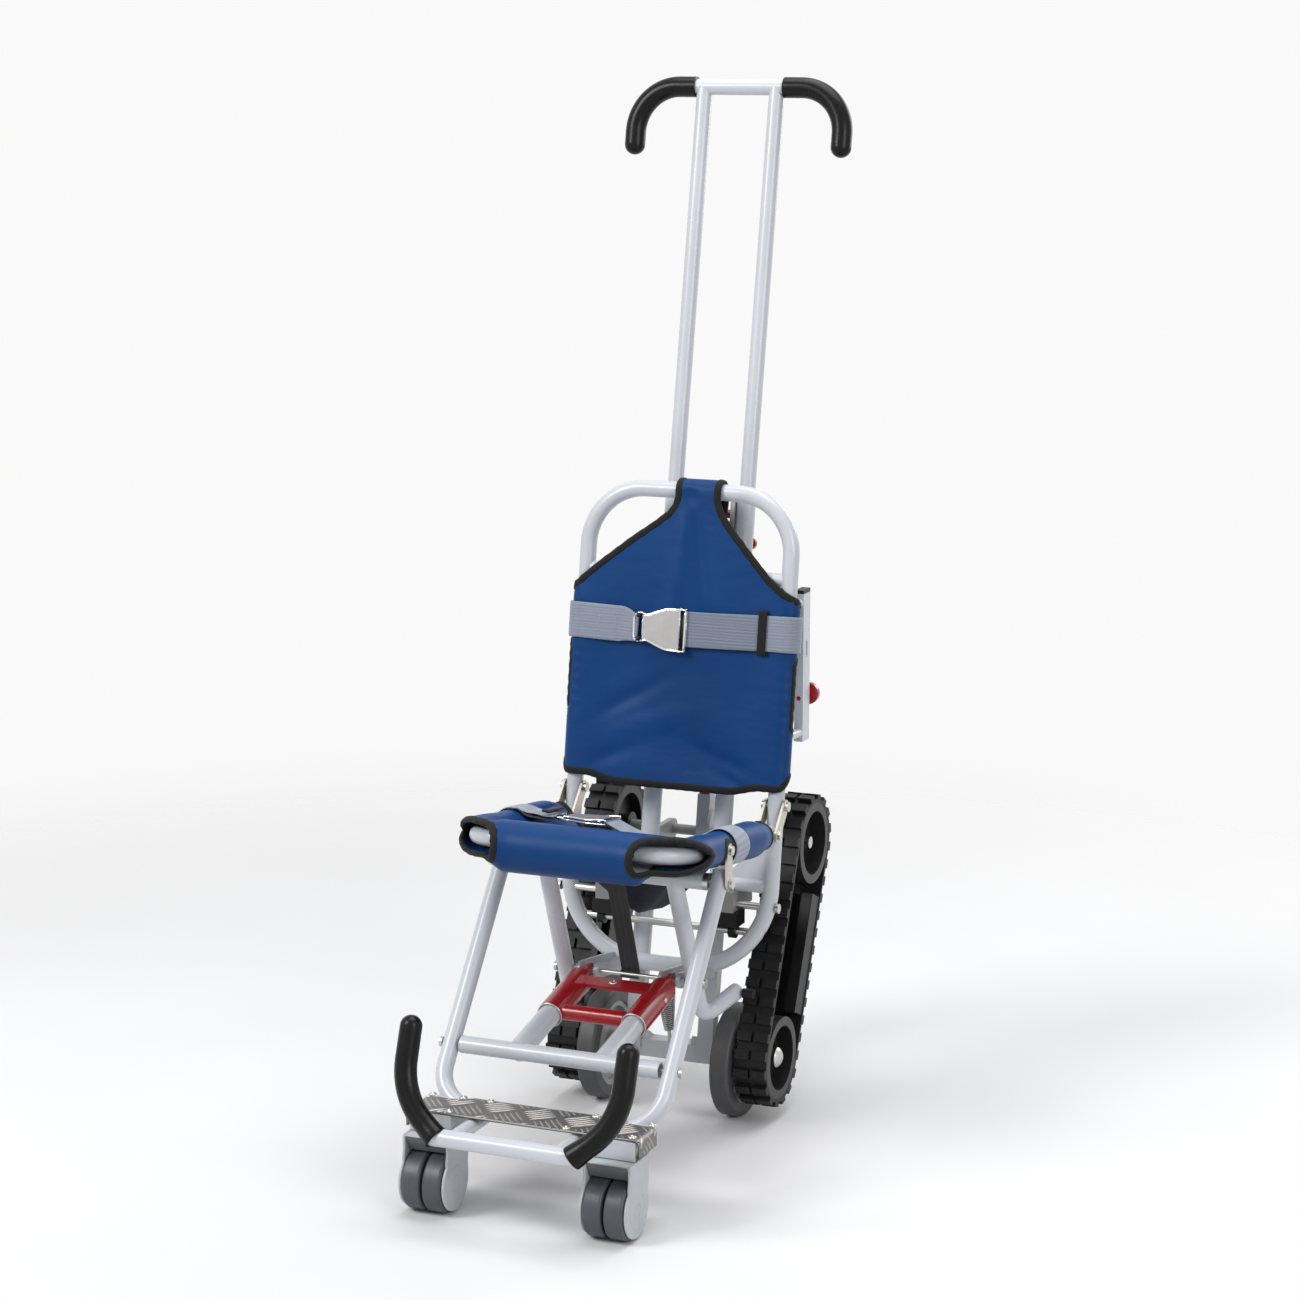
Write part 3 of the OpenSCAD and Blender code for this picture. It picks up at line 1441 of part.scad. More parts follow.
module leg_frame() {
    at_origin() color(paint) difference() {
        union() {
            leg_tube();
            both() bar([stub_x, leg_low[1], leg_low[2]], [stub_x, -foot_tube_y, foot_tube_z],
                stub_d);
            xrod(-foot_half_w, foot_half_w, -foot_tube_y, foot_tube_z, tube_d);
        }
        xrod(-2 * leg_half_w, 2 * leg_half_w, -leg_pivot_y, leg_pivot_z,
            leg_bolt_d + 2 * pin_gap);
        xrod(-2 * leg_half_w, 2 * leg_half_w, -push_pivot_y, push_pivot_z, push_bolt_d);
    }
}

// Channels under the plate that the castor stems turn in, folded from sheet
module castor_channels() {
    run = leg_low[1] - channel_front_y;
    at_origin() color(paint) both() difference() {
        translate([castor_half_track - channel_w / 2, channel_front_y,
                channel_top_z - channel_h])
            difference() {
                cube([channel_w, run, channel_h]);
                translate([channel_t, -cut, channel_t])
                    cube([channel_w - 2 * channel_t, run + 2 * cut, channel_h - 2 * channel_t]);
            }
        leg_tube();
        translate([castor_half_track, stem_y, channel_top_z - channel_h - cut])
            cylinder(h = channel_h - channel_t + cut, d = stem_d + 2 * pin_gap);
    }
}

stem_d = 10;

// Checker plate with its ends folded down
module footplate() {
    rear = leg_low[1];
    front = channel_front_y;
    fold = 22;
    fold_r = 8;
    top = channel_top_z + plate_t;
    at_origin() color(steel) difference() {
        translate([0, rear, top]) rotate([90, 0, 0]) linear_extrude(rear - front) difference() {
            translate([-plate_half_w, -fold]) square([2 * plate_half_w, fold]);
            translate([-plate_half_w + plate_t, -fold - cut])
                square([2 * plate_half_w - 2 * plate_t, fold + cut - plate_t]);
            for (m = [0, 1]) mirror([m, 0])
                translate([plate_half_w - fold_r, -fold_r]) difference() {
                    square(2 * fold_r);
                    circle(r = fold_r);
                }
        }
        // Room for the bends of the legs at the rear edge
        leg_tube(tube_d + 2 * gap);
    }
}

// Front grips: bent out and up from the ends of the foot tube
grip_out_x = 143;
front_grip_r = 46;

module front_grips() {
    h = (front_grip_top - foot_tube_z) / cos(front_grip_lean);
    a = [foot_half_w, 0, 0];
    b = [grip_out_x, 0, 0];
    c = [grip_out_x, 0, h - front_grip_d / 2];
    at_origin() color(black) both()
        translate([0, -foot_tube_y, foot_tube_z]) rotate([-front_grip_lean, 0, 0]) {
            pipe([a, b, c], front_grip_r, front_grip_d);
            translate(c) sphere(d = front_grip_d);
        }
}

module leg_bolts() {
    at_origin() color(steel) both() {
        // Bolt of the open push pivot, into the hollow end of the push cross tube
        xrod(push_cross_half - bolt_depth / 2, leg_out_x, -push_pivot_y, push_pivot_z,
            push_bolt_d);
        xrod(leg_out_x, leg_out_x + bolt_head_t, -push_pivot_y, push_pivot_z, bolt_head_d);
    }
}

push_cross_half = 134;

// Castor: hooded housing on a stem over two wheels
module castor_fork() {
    r = castor_d / 2;
    half_w = castor_mid / 2 + castor_w + 2 * gap + cheek_t;
    top_z = channel_top_z - channel_h - gap;
    at_origin() color(castor_grey) translate([castor_half_track, -castor_y, 0]) difference() {
        union() {
            // Cheeks and hood in one profile
            xplate(-half_w, half_w) {
                translate([0, r]) circle(r = r - cheek_t);
                intersection() {
                    translate([0, r]) circle(r = r + hood_t);
                    translate([-r * hood_front_share, r]) square([2 * r, 2 * r]);
                }
                translate([-r * lid_front_share, r])
                    square([castor_trail + lid_rear + r * lid_front_share, top_z - r]);
            }
            translate([0, castor_trail, top_z - cut])
                cylinder(h = channel_h - channel_t + cut - 2 * gap, d = stem_d);
        }
        // Wheel wells: open in front and below
        for (x = [-half_w + cheek_t, castor_mid / 2 - gap])
            xplate(x, x + castor_w + 2 * gap) {
                translate([0, r]) circle(r = r + well_gap);
                translate([-2 * r, -r]) square([2 * r, r * (1 + well_front_share)]);
                translate([-2 * r, -r]) square([4 * r, r * (1 + well_rear_share)]);
            }
        xrod(-2 * half_w, 2 * half_w, 0, r, castor_axle_d + 2 * pin_gap);
    }
}

// Castor sizes: space between the wheels, cheek, hood and lid over the wheels, wheel room
castor_mid = 3;
cheek_t = 4;
hood_t = 3;
lid_rear = 16;
well_gap = 1;
hood_front_share = 0.35;
lid_front_share = 0.55;
well_front_share = 1.45;
well_rear_share = 0.7;
castor_axle_d = 8;

module castor_wheels() {
    r = castor_d / 2;
    c = 4;
    at_origin() color(grey_rubber) translate([castor_half_track, -castor_y, r]) {
        for (x = [-castor_mid / 2 - castor_w, castor_mid / 2])
            translate([x, 0, 0]) rotate([0, 90, 0]) rotate_extrude() {
                translate([castor_axle_d / 2, 0]) square([r - c - castor_axle_d / 2, castor_w]);
                translate([castor_axle_d / 2, c])
                    square([r - castor_axle_d / 2, castor_w - 2 * c]);
                for (y = [c, castor_w - c]) translate([r - c, y]) circle(r = c);
            }
        // Axle shared by the two wheels
        xrod(-castor_mid / 2 - castor_w - gap, castor_mid / 2 + castor_w + gap, 0, 0, castor_axle_d);
    }
}

module left_castor_fork() mirror([1, 0, 0]) castor_fork();
module right_castor_fork() castor_fork();
module left_castor_wheels() mirror([1, 0, 0]) castor_wheels();
module right_castor_wheels() castor_wheels();

// Lock brace: local Z runs from the brace pivot down to the push pivot
brace_run = norm([push_pivot_y - brace_y, push_pivot_z - brace_z]);
brace_fall = atan2(brace_z - push_pivot_z, push_pivot_y - brace_y);

module on_brace() {
    translate([0, -brace_y, brace_z]) rotate([90 + brace_fall, 0, 0]) children();
}

sleeve_rear = 28;
sleeve_front = sleeve_rear + sleeve_length;
tongue_t = 5;
tongue_w = 18;
link_rod_d = 15;
link_rod_back = 12;
link_plate_t = 5;
link_plate_w = 22;
link_plate_at = 14;
link_plate_drop = 7;

module lock_collar() {
    bore = push_d + 2 * gap;
    at_origin() color(red) on_brace() difference() {
        union() {
            both() {
                translate([sleeve_half_w, 0, sleeve_rear]) cylinder(h = sleeve_length, d = sleeve_d);
                // Tongue back to the rod
                translate([sleeve_half_w - tongue_t / 2, -tongue_w / 2, 0])
                    cube([tongue_t, tongue_w, sleeve_rear + cut]);
                translate([sleeve_half_w - tongue_t / 2, 0, 0]) rotate([0, 90, 0])
                    cylinder(h = tongue_t, d = tongue_w);
            }
            xrod(-sleeve_half_w, sleeve_half_w, 0, sleeve_front - link_rod_back, link_rod_d);
            translate([-sleeve_half_w, sleeve_d / 2 - link_plate_drop, sleeve_rear + link_plate_at])
                cube([2 * sleeve_half_w, link_plate_t, link_plate_w]);
        }
        both() translate([sleeve_half_w, 0, sleeve_rear + tongue_t])
            cylinder(h = sleeve_length, d = bore);
        xrod(-2 * sleeve_half_w, 2 * sleeve_half_w, 0, 0, brace_rod_d + 2 * pin_gap);
    }
}

push_engage = 18;

module push_frame() {
    bore = tube_d - 2 * push_wall;
    tube_end = sleeve_front - push_engage;
    at_origin() color(paint) on_brace() difference() {
        union() {
            xrod(-push_cross_half, push_cross_half, 0, brace_run, tube_d);
            both() translate([sleeve_half_w, 0, tube_end])
                cylinder(h = brace_run - tube_end, d = push_d);
        }
        both() translate([sleeve_half_w, 0, tube_end - cut])
            cylinder(h = brace_run - tube_end - tube_d / 2, d = push_d - 2 * push_wall);
        both() xrod(push_cross_half - bolt_depth, push_cross_half + cut, 0, brace_run, bore);
    }
}

back_frame();
frame_gussets();
guide_tubes();
guide_brackets();
guide_clamps();
shaft_blocks();
rubber_pads();
cross_rods();
frame_caps();
axle_frame();
axle_pins();
return_spring();
seat_brace();
brace_brackets();
pull_strap();
track_shaft();
left_track_frame();
right_track_frame();
left_track_belt();
right_track_belt();
rear_rail();
back_cover();
chest_belt();
chest_buckle();
frame_bolts();
handle_frame();
handle_grips();
lock_knob();
release_bar();
rail_knob();
brake_lever();
lever_tab();
left_tyre();
left_hub();
right_tyre();
right_hub();
left_low_pulley();
left_top_pulley();
right_low_pulley();
right_top_pulley();
seat_frame();
seat_plates();
seat_cover();
seat_sling();
lap_belt();
lap_buckle();
seat_bolts();
chest_flap();
lap_flap();
leg_frame();
castor_channels();
footplate();
front_grips();
leg_bolts();
left_castor_fork();
right_castor_fork();
left_castor_wheels();
right_castor_wheels();
lock_collar();
push_frame();
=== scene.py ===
import bpy
import bmesh
import itertools
import random
from math import atan2, copysign, cos, degrees, exp, hypot, pi, radians, sin, sqrt, tan
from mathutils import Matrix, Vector


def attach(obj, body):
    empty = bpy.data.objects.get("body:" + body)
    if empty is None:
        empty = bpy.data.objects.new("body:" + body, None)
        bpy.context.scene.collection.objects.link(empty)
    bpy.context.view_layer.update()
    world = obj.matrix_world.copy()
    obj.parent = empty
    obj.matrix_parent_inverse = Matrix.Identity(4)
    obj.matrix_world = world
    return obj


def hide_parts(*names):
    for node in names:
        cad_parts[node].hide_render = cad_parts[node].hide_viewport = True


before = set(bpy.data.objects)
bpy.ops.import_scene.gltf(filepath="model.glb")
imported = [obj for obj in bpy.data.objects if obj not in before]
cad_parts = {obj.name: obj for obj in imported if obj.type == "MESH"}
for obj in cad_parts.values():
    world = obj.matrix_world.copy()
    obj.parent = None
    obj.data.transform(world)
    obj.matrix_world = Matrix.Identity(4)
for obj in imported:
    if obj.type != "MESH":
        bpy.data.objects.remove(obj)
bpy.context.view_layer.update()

# Frame: Y of the rear axle in the part's frame (m), slopes of the back and handle, and the hoop's foot (mm)
SH = 0.145531
BACK = radians(8.8)
HANDLE = radians(10.9)
HOOP_Y, HOOP_Z = -29, 203


def mm(x, y, z):
    """A point in millimetres from the rear axle, as metres in the part's frame."""
    return Vector((x / 1000, y / 1000 + SH, z / 1000))


def hoop_y(z):
    return HOOP_Y + (z - HOOP_Z) * tan(BACK)


def slanted(y0, z0, tilt):
    """Axes that start at y0, z0 and are turned by tilt about x: takes x, then two lengths, all in mm."""
    c, s = cos(tilt), sin(tilt)
    return lambda x, u, v: mm(x, y0 + u * c + v * s, z0 - u * s + v * c)


def back_s(z):
    return (z - HOOP_Z) / cos(BACK)


# Seat tubes: from their rear end down to the front bend
SEAT_Z0, SEAT_Z1, SEAT_REACH = 392, 433, 325
SEAT_Y0 = hoop_y(SEAT_Z0) - 24
SEAT_TILT = atan2(SEAT_Z1 - SEAT_Z0, SEAT_REACH + SEAT_Y0)
SEAT_RUN = hypot(SEAT_REACH + SEAT_Y0, SEAT_Z1 - SEAT_Z0)

# x across, then: rearward and up along the hoop; the same along the handle; back along the seat tubes
# and up from them; up from the lock brace and forward along it; forward and up at the front grips
on_back = slanted(HOOP_Y, HOOP_Z, BACK)
on_handle = slanted(-22.8, 0, HANDLE)
on_seat = slanted(SEAT_Y0, SEAT_Z0, SEAT_TILT)
on_brace = slanted(-143, 220, -radians(90) - atan2(220 - 175, 362 - 143))
on_grip = slanted(-526, 113, radians(20))


def add_object(name, data):
    ob = bpy.data.objects.new(name, data)
    bpy.context.scene.collection.objects.link(ob)
    return ob


# Camera
cam_data = bpy.data.cameras.new("view_camera")
cam_data.sensor_width = 36
cam_data.lens = 88.866
cam = add_object("view_camera", cam_data)
cam.location = (1.5689, -3.8049 + SH, 1.4230)
cam.rotation_euler = (radians(90 - 11.031), 0, radians(22.822))
bpy.context.scene.camera = cam


# Materials
class Nodes:
    """A node tree with short helpers; an input takes a value or another node's output."""

    def __init__(self, tree):
        self.t = tree

    def feed(self, sock, v):
        if isinstance(v, bpy.types.NodeSocket):
            self.t.links.new(v, sock)
        elif isinstance(v, tuple) and sock.type == "RGBA":
            sock.default_value = (*v, 1)
        else:
            sock.default_value = v

    def node(self, kind, attrs=(), **inputs):
        n = self.t.nodes.new(kind)
        for k, v in dict(attrs).items():
            setattr(n, k, v)
        for k, v in inputs.items():
            self.feed(n.inputs[k.replace("_", " ")], v)
        return n

    def pair(self, n, first, a, b):
        """Feeds two neighbouring inputs of a node, and returns the node."""
        self.feed(n.inputs[first], a)
        self.feed(n.inputs[first + 1], b)
        return n

    def math(self, op, a, b):
        return self.pair(self.node("ShaderNodeMath", {"operation": op}), 0, a, b).outputs[0]


class Mat(Nodes):
    """A node material with the textures used below."""

    def __init__(self, name):
        self.m = bpy.data.materials.new(name)
        self.m.use_nodes = True
        super().__init__(self.m.node_tree)
        self.b = self.t.nodes["Principled BSDF"]
        self.co = self.node("ShaderNodeTexCoord").outputs["Object"]

    def coords(self, scale, rot=(0, 0, 0)):
        return self.node("ShaderNodeMapping", Vector=self.co, Scale=scale, Rotation=rot).outputs["Vector"]

    def noise(self, scale, detail=3, rough=0.5, co=None):
        return self.node("ShaderNodeTexNoise", Scale=scale, Detail=detail, Roughness=rough,
                         Vector=co or self.co).outputs["Fac"]

    def voronoi(self, scale):
        return self.node("ShaderNodeTexVoronoi", Scale=scale, Vector=self.co).outputs["Distance"]

    def wave(self, scale, axis, co=None, distortion=0.0):
        return self.node("ShaderNodeTexWave", {"bands_direction": axis}, Scale=scale,
                         Distortion=distortion, Vector=co or self.co).outputs["Fac"]

    def ramp(self, fac, low, high):
        """A colour between two stops, each a place and a colour."""
        n = self.node("ShaderNodeValToRGB", Fac=fac)
        for e, (pos, col) in zip(n.color_ramp.elements, (low, high)):
            e.position = pos
            e.color = (*col, 1)
        return n.outputs["Color"]

    def span(self, fac, lo, hi, from_lo=0.0, from_hi=1.0):
        return self.node("ShaderNodeMapRange", Value=fac, From_Min=from_lo, From_Max=from_hi,
                         To_Min=lo, To_Max=hi).outputs["Result"]

    def mix(self, fac, a, b):
        n = self.node("ShaderNodeMix", {"data_type": "RGBA"}, Factor=fac)
        return self.pair(n, 6, a, b).outputs[2]

    def layer(self, fac, lo, hi, share, base, col):
        """Lays a share of a colour over the base, coming on as fac goes from lo to hi."""
        return self.mix(self.math("MULTIPLY", self.span(fac, 0, 1, lo, hi), share), base, col)

    def bump(self, height, strength, distance, **normal):
        return self.node("ShaderNodeBump", Strength=strength, Distance=distance, Height=height,
                         **normal).outputs["Normal"]

    def set(self, **values):
        for k, v in values.items():
            self.feed(self.b.inputs[k.replace("_", " ")], v)


def tint(col, k):
    return tuple(x * k for x in col)


def paint(name, col, rough, vary=0.03, bump=0.05):
    m = Mat(name)
    base = m.ramp(m.noise(9), (0.3, tuple(max(0, x - vary) for x in col)),
                  (0.7, tuple(min(1, x + vary * 0.4) for x in col)))
    base = m.layer(m.noise(900, 2), 0.66, 0.74, 0.10, base, tint(col, 0.75))
    m.set(Base_Color=base, Roughness=m.span(m.noise(60, 4), rough - 0.05, rough + 0.08),
          Normal=m.bump(m.noise(420, 2, 0.4), bump, 0.0006), Coat_Weight=0.25, Coat_Roughness=0.18)
    return m.m


def metal(name, col, rough=0.3, streak=(1, 1, 30), bump=0.05):
    m = Mat(name)
    brush = m.noise(260, 4, 0.6, m.coords(streak))
    base = m.ramp(brush, (0.3, tint(col, 0.80)), (0.7, col))
    base = m.layer(m.noise(40, 4), 0.35, 0.75, 0.25, base, tint(col, 0.62))
    m.set(Base_Color=base, Metallic=1.0, Roughness=m.span(brush, rough - 0.08, rough + 0.12),
          Normal=m.bump(brush, bump, 0.0004))
    return m.m


def rubber(name, col, rough, vary, grain=700, bump=0.12, dust=0.12, shine=0.5):
    m = Mat(name)
    base = m.ramp(m.noise(25, 4), (0.35, col), (0.7, tuple(x + vary for x in col)))
    base = m.layer(m.noise(120, 5, 0.7), 0.55, 0.8, dust, base, (0.30, 0.30, 0.29))
    m.set(Base_Color=base, Roughness=m.span(m.noise(90), rough - 0.1, rough + 0.1),
          Normal=m.bump(m.noise(grain, 3, 0.6), bump, 0.0006), Specular_IOR_Level=shine)
    return m.m


def plastic(name, col, rough, bump=0.08, coat=0.0, shine=0.5):
    m = Mat(name)
    m.set(Base_Color=m.ramp(m.noise(30), (0.3, tint(col, 0.93)), (0.7, col)),
          Roughness=m.span(m.noise(140, 4), rough - 0.06, rough + 0.08),
          Normal=m.bump(m.noise(1100, 2, 0.5), bump, 0.0004),
          Specular_IOR_Level=shine, Coat_Weight=coat, Coat_Roughness=0.12)
    return m.m


def vinyl(name, col, deep):
    """Coated upholstery cloth: fine leather grain over a soft, slightly shiny skin."""
    m = Mat(name)
    base = m.ramp(m.noise(7, 4, 0.55), (0.25, deep), (0.75, col))
    cells = m.voronoi(1500)
    base = m.layer(cells, 0.15, 0.75, 0.10, base, tuple(min(1, x * 1.25) for x in col))
    grain = m.math("ADD", m.math("MULTIPLY", cells, 0.7), m.noise(380, 4, 0.6))
    creases = m.bump(m.noise(26, 2, 0.5, m.coords((1, 1, 2.2))), 0.16, 0.004)
    m.set(Base_Color=base, Roughness=m.span(m.noise(45, 4), 0.38, 0.50),
          Normal=m.bump(grain, 0.16, 0.0005, Normal=creases), Specular_IOR_Level=0.17)
    return m.m


def webbing(name, col, along="X", ribs=1.0, dark=0.72, wefts=1.0):
    """Seat-belt webbing: ribs along its length, crossed by the fine weft."""
    m = Mat(name)
    rib = m.wave(42 * ribs, {"X": "Z", "Z": "X"}[along])
    weft = m.wave(260 * wefts, along, distortion=0.4)
    weave = m.math("MULTIPLY", m.span(rib, 0.35, 1), m.span(weft, 0.55, 1))
    base = m.ramp(weave, (0.15, tint(col, dark)), (0.9, col))
    base = m.layer(m.noise(30), 0.5, 0.8, 0.15, base, tint(col, 0.6))
    m.set(Base_Color=base, Roughness=m.span(weft, 0.55, 0.75), Normal=m.bump(weave, 0.5, 0.0006),
          Sheen_Weight=0.2, Sheen_Roughness=0.5)
    return m.m


def tape(name, col):
    """Black edge binding: a tight grosgrain with small puckers."""
    m = Mat(name)
    rib = m.wave(320, "X", m.coords((1, 1, 1), (0.6, 0.5, 0.7)))
    fuzz = m.noise(500, 4, 0.7)
    base = m.ramp(m.math("MULTIPLY", rib, fuzz), (0.1, col), (0.7, tuple(x + 0.009 for x in col)))
    m.set(Base_Color=base, Roughness=m.span(fuzz, 0.65, 0.85), Normal=m.bump(rib, 0.35, 0.0006),
          Sheen_Weight=0.05, Sheen_Roughness=0.5, Specular_IOR_Level=0.25)
    return m.m


MATS = {
    "paint": paint("powder_coat", (0.60, 0.625, 0.665), 0.28),
    "bracket": paint("bracket_coat", (0.44, 0.46, 0.48), 0.34, 0.03, 0.08),
    "cast": paint("grey_cast_paint", (0.30, 0.30, 0.295), 0.42, 0.03, 0.14),
    "zinc": metal("zinc_steel", (0.62, 0.62, 0.60), 0.30),
    "chrome": metal("polished_steel", (0.80, 0.80, 0.79), 0.14, (1, 30, 1), 0.02),
    "nickel": metal("warm_plate", (0.63, 0.59, 0.52), 0.32, (30, 1, 1), 0.04),
    "alu": metal("checker_alu", (0.235, 0.225, 0.215), 0.44, (12, 1, 1), 0.08),
    "black_plastic": plastic("black_plastic", (0.006, 0.006, 0.007), 0.40, shine=0.30),
    "black_rubber": rubber("belt_rubber", (0.0045, 0.0045, 0.005), 0.50, 0.004, dust=0.02, shine=0.28),
    "pulley": plastic("pulley_black", (0.014, 0.014, 0.0145), 0.38, shine=0.35),
    "grip": plastic("grip_black", (0.0035, 0.0035, 0.004), 0.27, 0.03, shine=0.20),
    "tyre": rubber("tyre_grey", (0.052, 0.053, 0.055), 0.50, 0.012, 500, 0.10, dust=0.06),
    "castor": plastic("castor_plastic", (0.49, 0.52, 0.54), 0.42, 0.06),
    "castor_tyre": rubber("castor_tyre", (0.060, 0.066, 0.078), 0.42, 0.012, dust=0.05),
    "vinyl": vinyl("blue_vinyl", (0.0040, 0.052, 0.196), (0.0020, 0.034, 0.138)),
    "vinyl_back": rubber("cloth_underside", (0.006, 0.010, 0.022), 0.75, 0.006, dust=0.03),
    "tape": tape("black_tape", (0.0035, 0.0035, 0.004)),
    "web_x": webbing("belt_web_x", (0.27, 0.305, 0.385), "X", 1.9, 0.84),
    "web_mid": webbing("belt_web_mid", (0.205, 0.235, 0.31), "X", 1.9, 0.80, 0.38),
    "web_lap": webbing("belt_web_lap", (0.34, 0.38, 0.46), "X"),
    "strap": webbing("black_strap", (0.006, 0.006, 0.007), "Z"),
    "red": plastic("red_gloss", (0.36, 0.006, 0.012), 0.24, 0.03, 0.4),
    "red_paint": paint("red_coat", (0.36, 0.007, 0.014), 0.20, 0.02, 0.03),
    "thread": rubber("pale_thread", (0.36, 0.38, 0.43), 0.7, 0.05),
    "satin": metal("satin_plate", (0.42, 0.415, 0.41), 0.44, (1, 1, 18), 0.03),
    # Painted highlight: the tread bars get a lighter copy of the footplate's aluminium
    "alu_bar_highlight": metal("tread_alu_highlight", (0.42, 0.405, 0.39), 0.38, (1, 1, 1), 0.05),
    # Painted shade: the dark plate on each castor hood's sloping front face
    "lid": plastic("castor_lid", (0.10, 0.105, 0.11), 0.4, 0.05),
}

# Nodes of the frame that each material goes on
CAD_MATS = {
    "paint": "back_frame frame_gussets guide_tubes guide_brackets seat_brace rear_rail handle_frame "
             "seat_frame leg_frame castor_channels push_frame",
    "bracket": "axle_frame brace_brackets brake_lever",
    "cast": "guide_clamps shaft_blocks track_shaft left_hub right_hub",
    "pulley": "left_low_pulley left_top_pulley right_low_pulley right_top_pulley",
    "zinc": "cross_rods axle_pins return_spring frame_bolts seat_bolts leg_bolts",
    "chrome": "chest_buckle chest_flap lap_buckle lap_flap",
    "nickel": "seat_plates",
    "alu": "footplate",
    "black_plastic": "frame_caps left_track_frame right_track_frame",
    "black_rubber": "rubber_pads left_track_belt right_track_belt",
    "grip": "handle_grips front_grips",
    "tyre": "left_tyre right_tyre",
    "castor_tyre": "left_castor_wheels right_castor_wheels",
    "castor": "left_castor_fork right_castor_fork",
    "vinyl": "back_cover seat_cover seat_sling",
    "web_x": "chest_belt",
    "web_lap": "lap_belt",
    "strap": "pull_strap",
    "red": "lock_knob release_bar rail_knob lever_tab",
    "red_paint": "lock_collar",
}
for key, names in CAD_MATS.items():
    for name in names.split():
        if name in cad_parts:
            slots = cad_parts[name].data.materials
            slots.clear()
            slots.append(MATS[key])


# Mesh helpers
def plain_mesh(name, verts, faces, material, smooth=True):
    me = bpy.data.meshes.new(name)
    me.from_pydata([tuple(v) for v in verts], [], faces)
    me.update()
    ob = add_object(name, me)
    me.materials.append(material)
    if smooth:
        me.polygons.foreach_set("use_smooth", [True] * len(me.polygons))
    return ob


def fix_normals(ob, merge=0.0):
    bm = bmesh.new()
    bm.from_mesh(ob.data)
    if merge:
        bmesh.ops.remove_doubles(bm, verts=bm.verts, dist=merge)
    bmesh.ops.recalc_face_normals(bm, faces=bm.faces)
    bm.to_mesh(ob.data)
    bm.free()


def new_mesh(name, verts, faces, mat, body, smooth=True, closed=True):
    """A piece in one of MATS that rides on a body; only a closed one has its normals turned out."""
    ob = plain_mesh(name, verts, faces, MATS[mat], smooth)
    if closed:
        fix_normals(ob)
    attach(ob, body)
    return ob


def lerp_table(table, x):
    """Straight-line value at x from a short list of (x, value) pairs in rising x."""
    if x <= table[0][0]:
        return table[0][1]
    for (x0, y0), (x1, y1) in zip(table, table[1:]):
        if x <= x1:
            t = (x - x0) / (x1 - x0)
            return y0 + (y1 - y0) * t
    return table[-1][1]


def ease(t):
    t = max(0.0, min(1.0, t))
    return t * t * (3 - 2 * t)


def bell(x, centre, width):
    return exp(-((x - centre) / width) ** 2)


def spow(x, power):
    """A power that keeps the sign."""
    return copysign(abs(x) ** power, x)


def around(count):
    return [2 * pi * i / count for i in range(count)]


def arc(r, degs, up=0.0):
    return [(r * cos(radians(a)), up + r * sin(radians(a))) for a in degs]


def rect(x0, y0, x1, y1):
    return [(x0, y0), (x1, y0), (x1, y1), (x0, y1)]


def ring_faces(count, sides, closed=False, base=0, caps=(True, True)):
    """Faces between rings of points; the two ends are capped unless the rings close."""
    faces = []
    for i in range(count if closed else count - 1):
        a, b = base + i * sides, base + (i + 1) % count * sides
        for s in range(sides):
            t = (s + 1) % sides
            faces.append((a + s, a + t, b + t, b + s))
    if caps[0] and not closed:
        faces.append(tuple(range(base, base + sides))[::-1])
    if caps[1] and not closed:
        faces.append(tuple(base + (count - 1) * sides + s for s in range(sides)))
    return faces


def heading(path, i, closed=False):
    """Direction of a path at its point i."""
    n = len(path)
    a = path[(i - 1) % n] if closed or i > 0 else path[i]
    b = path[(i + 1) % n] if closed or i < n - 1 else path[i]
    return (b - a).normalized()


def band_frames(pairs, closed=False):
    """Point, sideways and outward directions along pairs of point and rough normal."""
    path = [p for p, _ in pairs]
    for i, (p, rough) in enumerate(pairs):
        d = heading(path, i, closed)
        nm = (rough - d * rough.dot(d)).normalized()
        yield p, d.cross(nm), nm


def spaced(pairs, gap):
    """Leaves out the pairs of point and normal that are nearer than gap to the last one kept."""
    keep = pairs[:1]
    for pair in pairs[1:]:
        if (pair[0] - keep[-1][0]).length > gap:
            keep.append(pair)
    return keep


def sheet_shell(name, front, back, mat, body):
    """A closed sheet from two grids of points with the same rows and columns."""
    rows, cols = len(front), len(front[0])
    verts = [p for r in front for p in r] + [p for r in back for p in r]
    off = rows * cols
    faces = []
    for j in range(rows - 1):
        for i in range(cols - 1):
            a = j * cols + i
            faces.append((a, a + 1, a + cols + 1, a + cols))
            faces.append((a + off, a + cols + off, a + cols + 1 + off, a + 1 + off))
    rim = list(range(cols)) + [j * cols + cols - 1 for j in range(1, rows)]
    rim += [(rows - 1) * cols + i for i in range(cols - 2, -1, -1)]
    rim += [j * cols for j in range(rows - 2, 0, -1)]
    for a, b in zip(rim, rim[1:] + rim[:1]):
        faces.append((b, a, a + off, b + off))
    return new_mesh(name, verts, faces, mat, body)


def sweep(name, pairs, half_w, half_t, body, closed=False, sides=10, power=0.8, pucker=0.0, seed=1):
    """A soft band of binding with an oval section along pairs of point and normal."""
    rnd = random.Random(seed)
    verts = []
    for i, (p, side, nm) in enumerate(band_frames(pairs, closed)):
        k = 1 + pucker * sin(i * 2.1 + rnd.random() * 0.8) + pucker * 0.6 * (rnd.random() - 0.5)
        for t in around(sides):
            verts.append(p + side * (spow(cos(t), power) * half_w * (2 - k))
                         + nm * (spow(sin(t), power) * half_t * k))
    return new_mesh(name, verts, ring_faces(len(pairs), sides, closed), "tape", body)


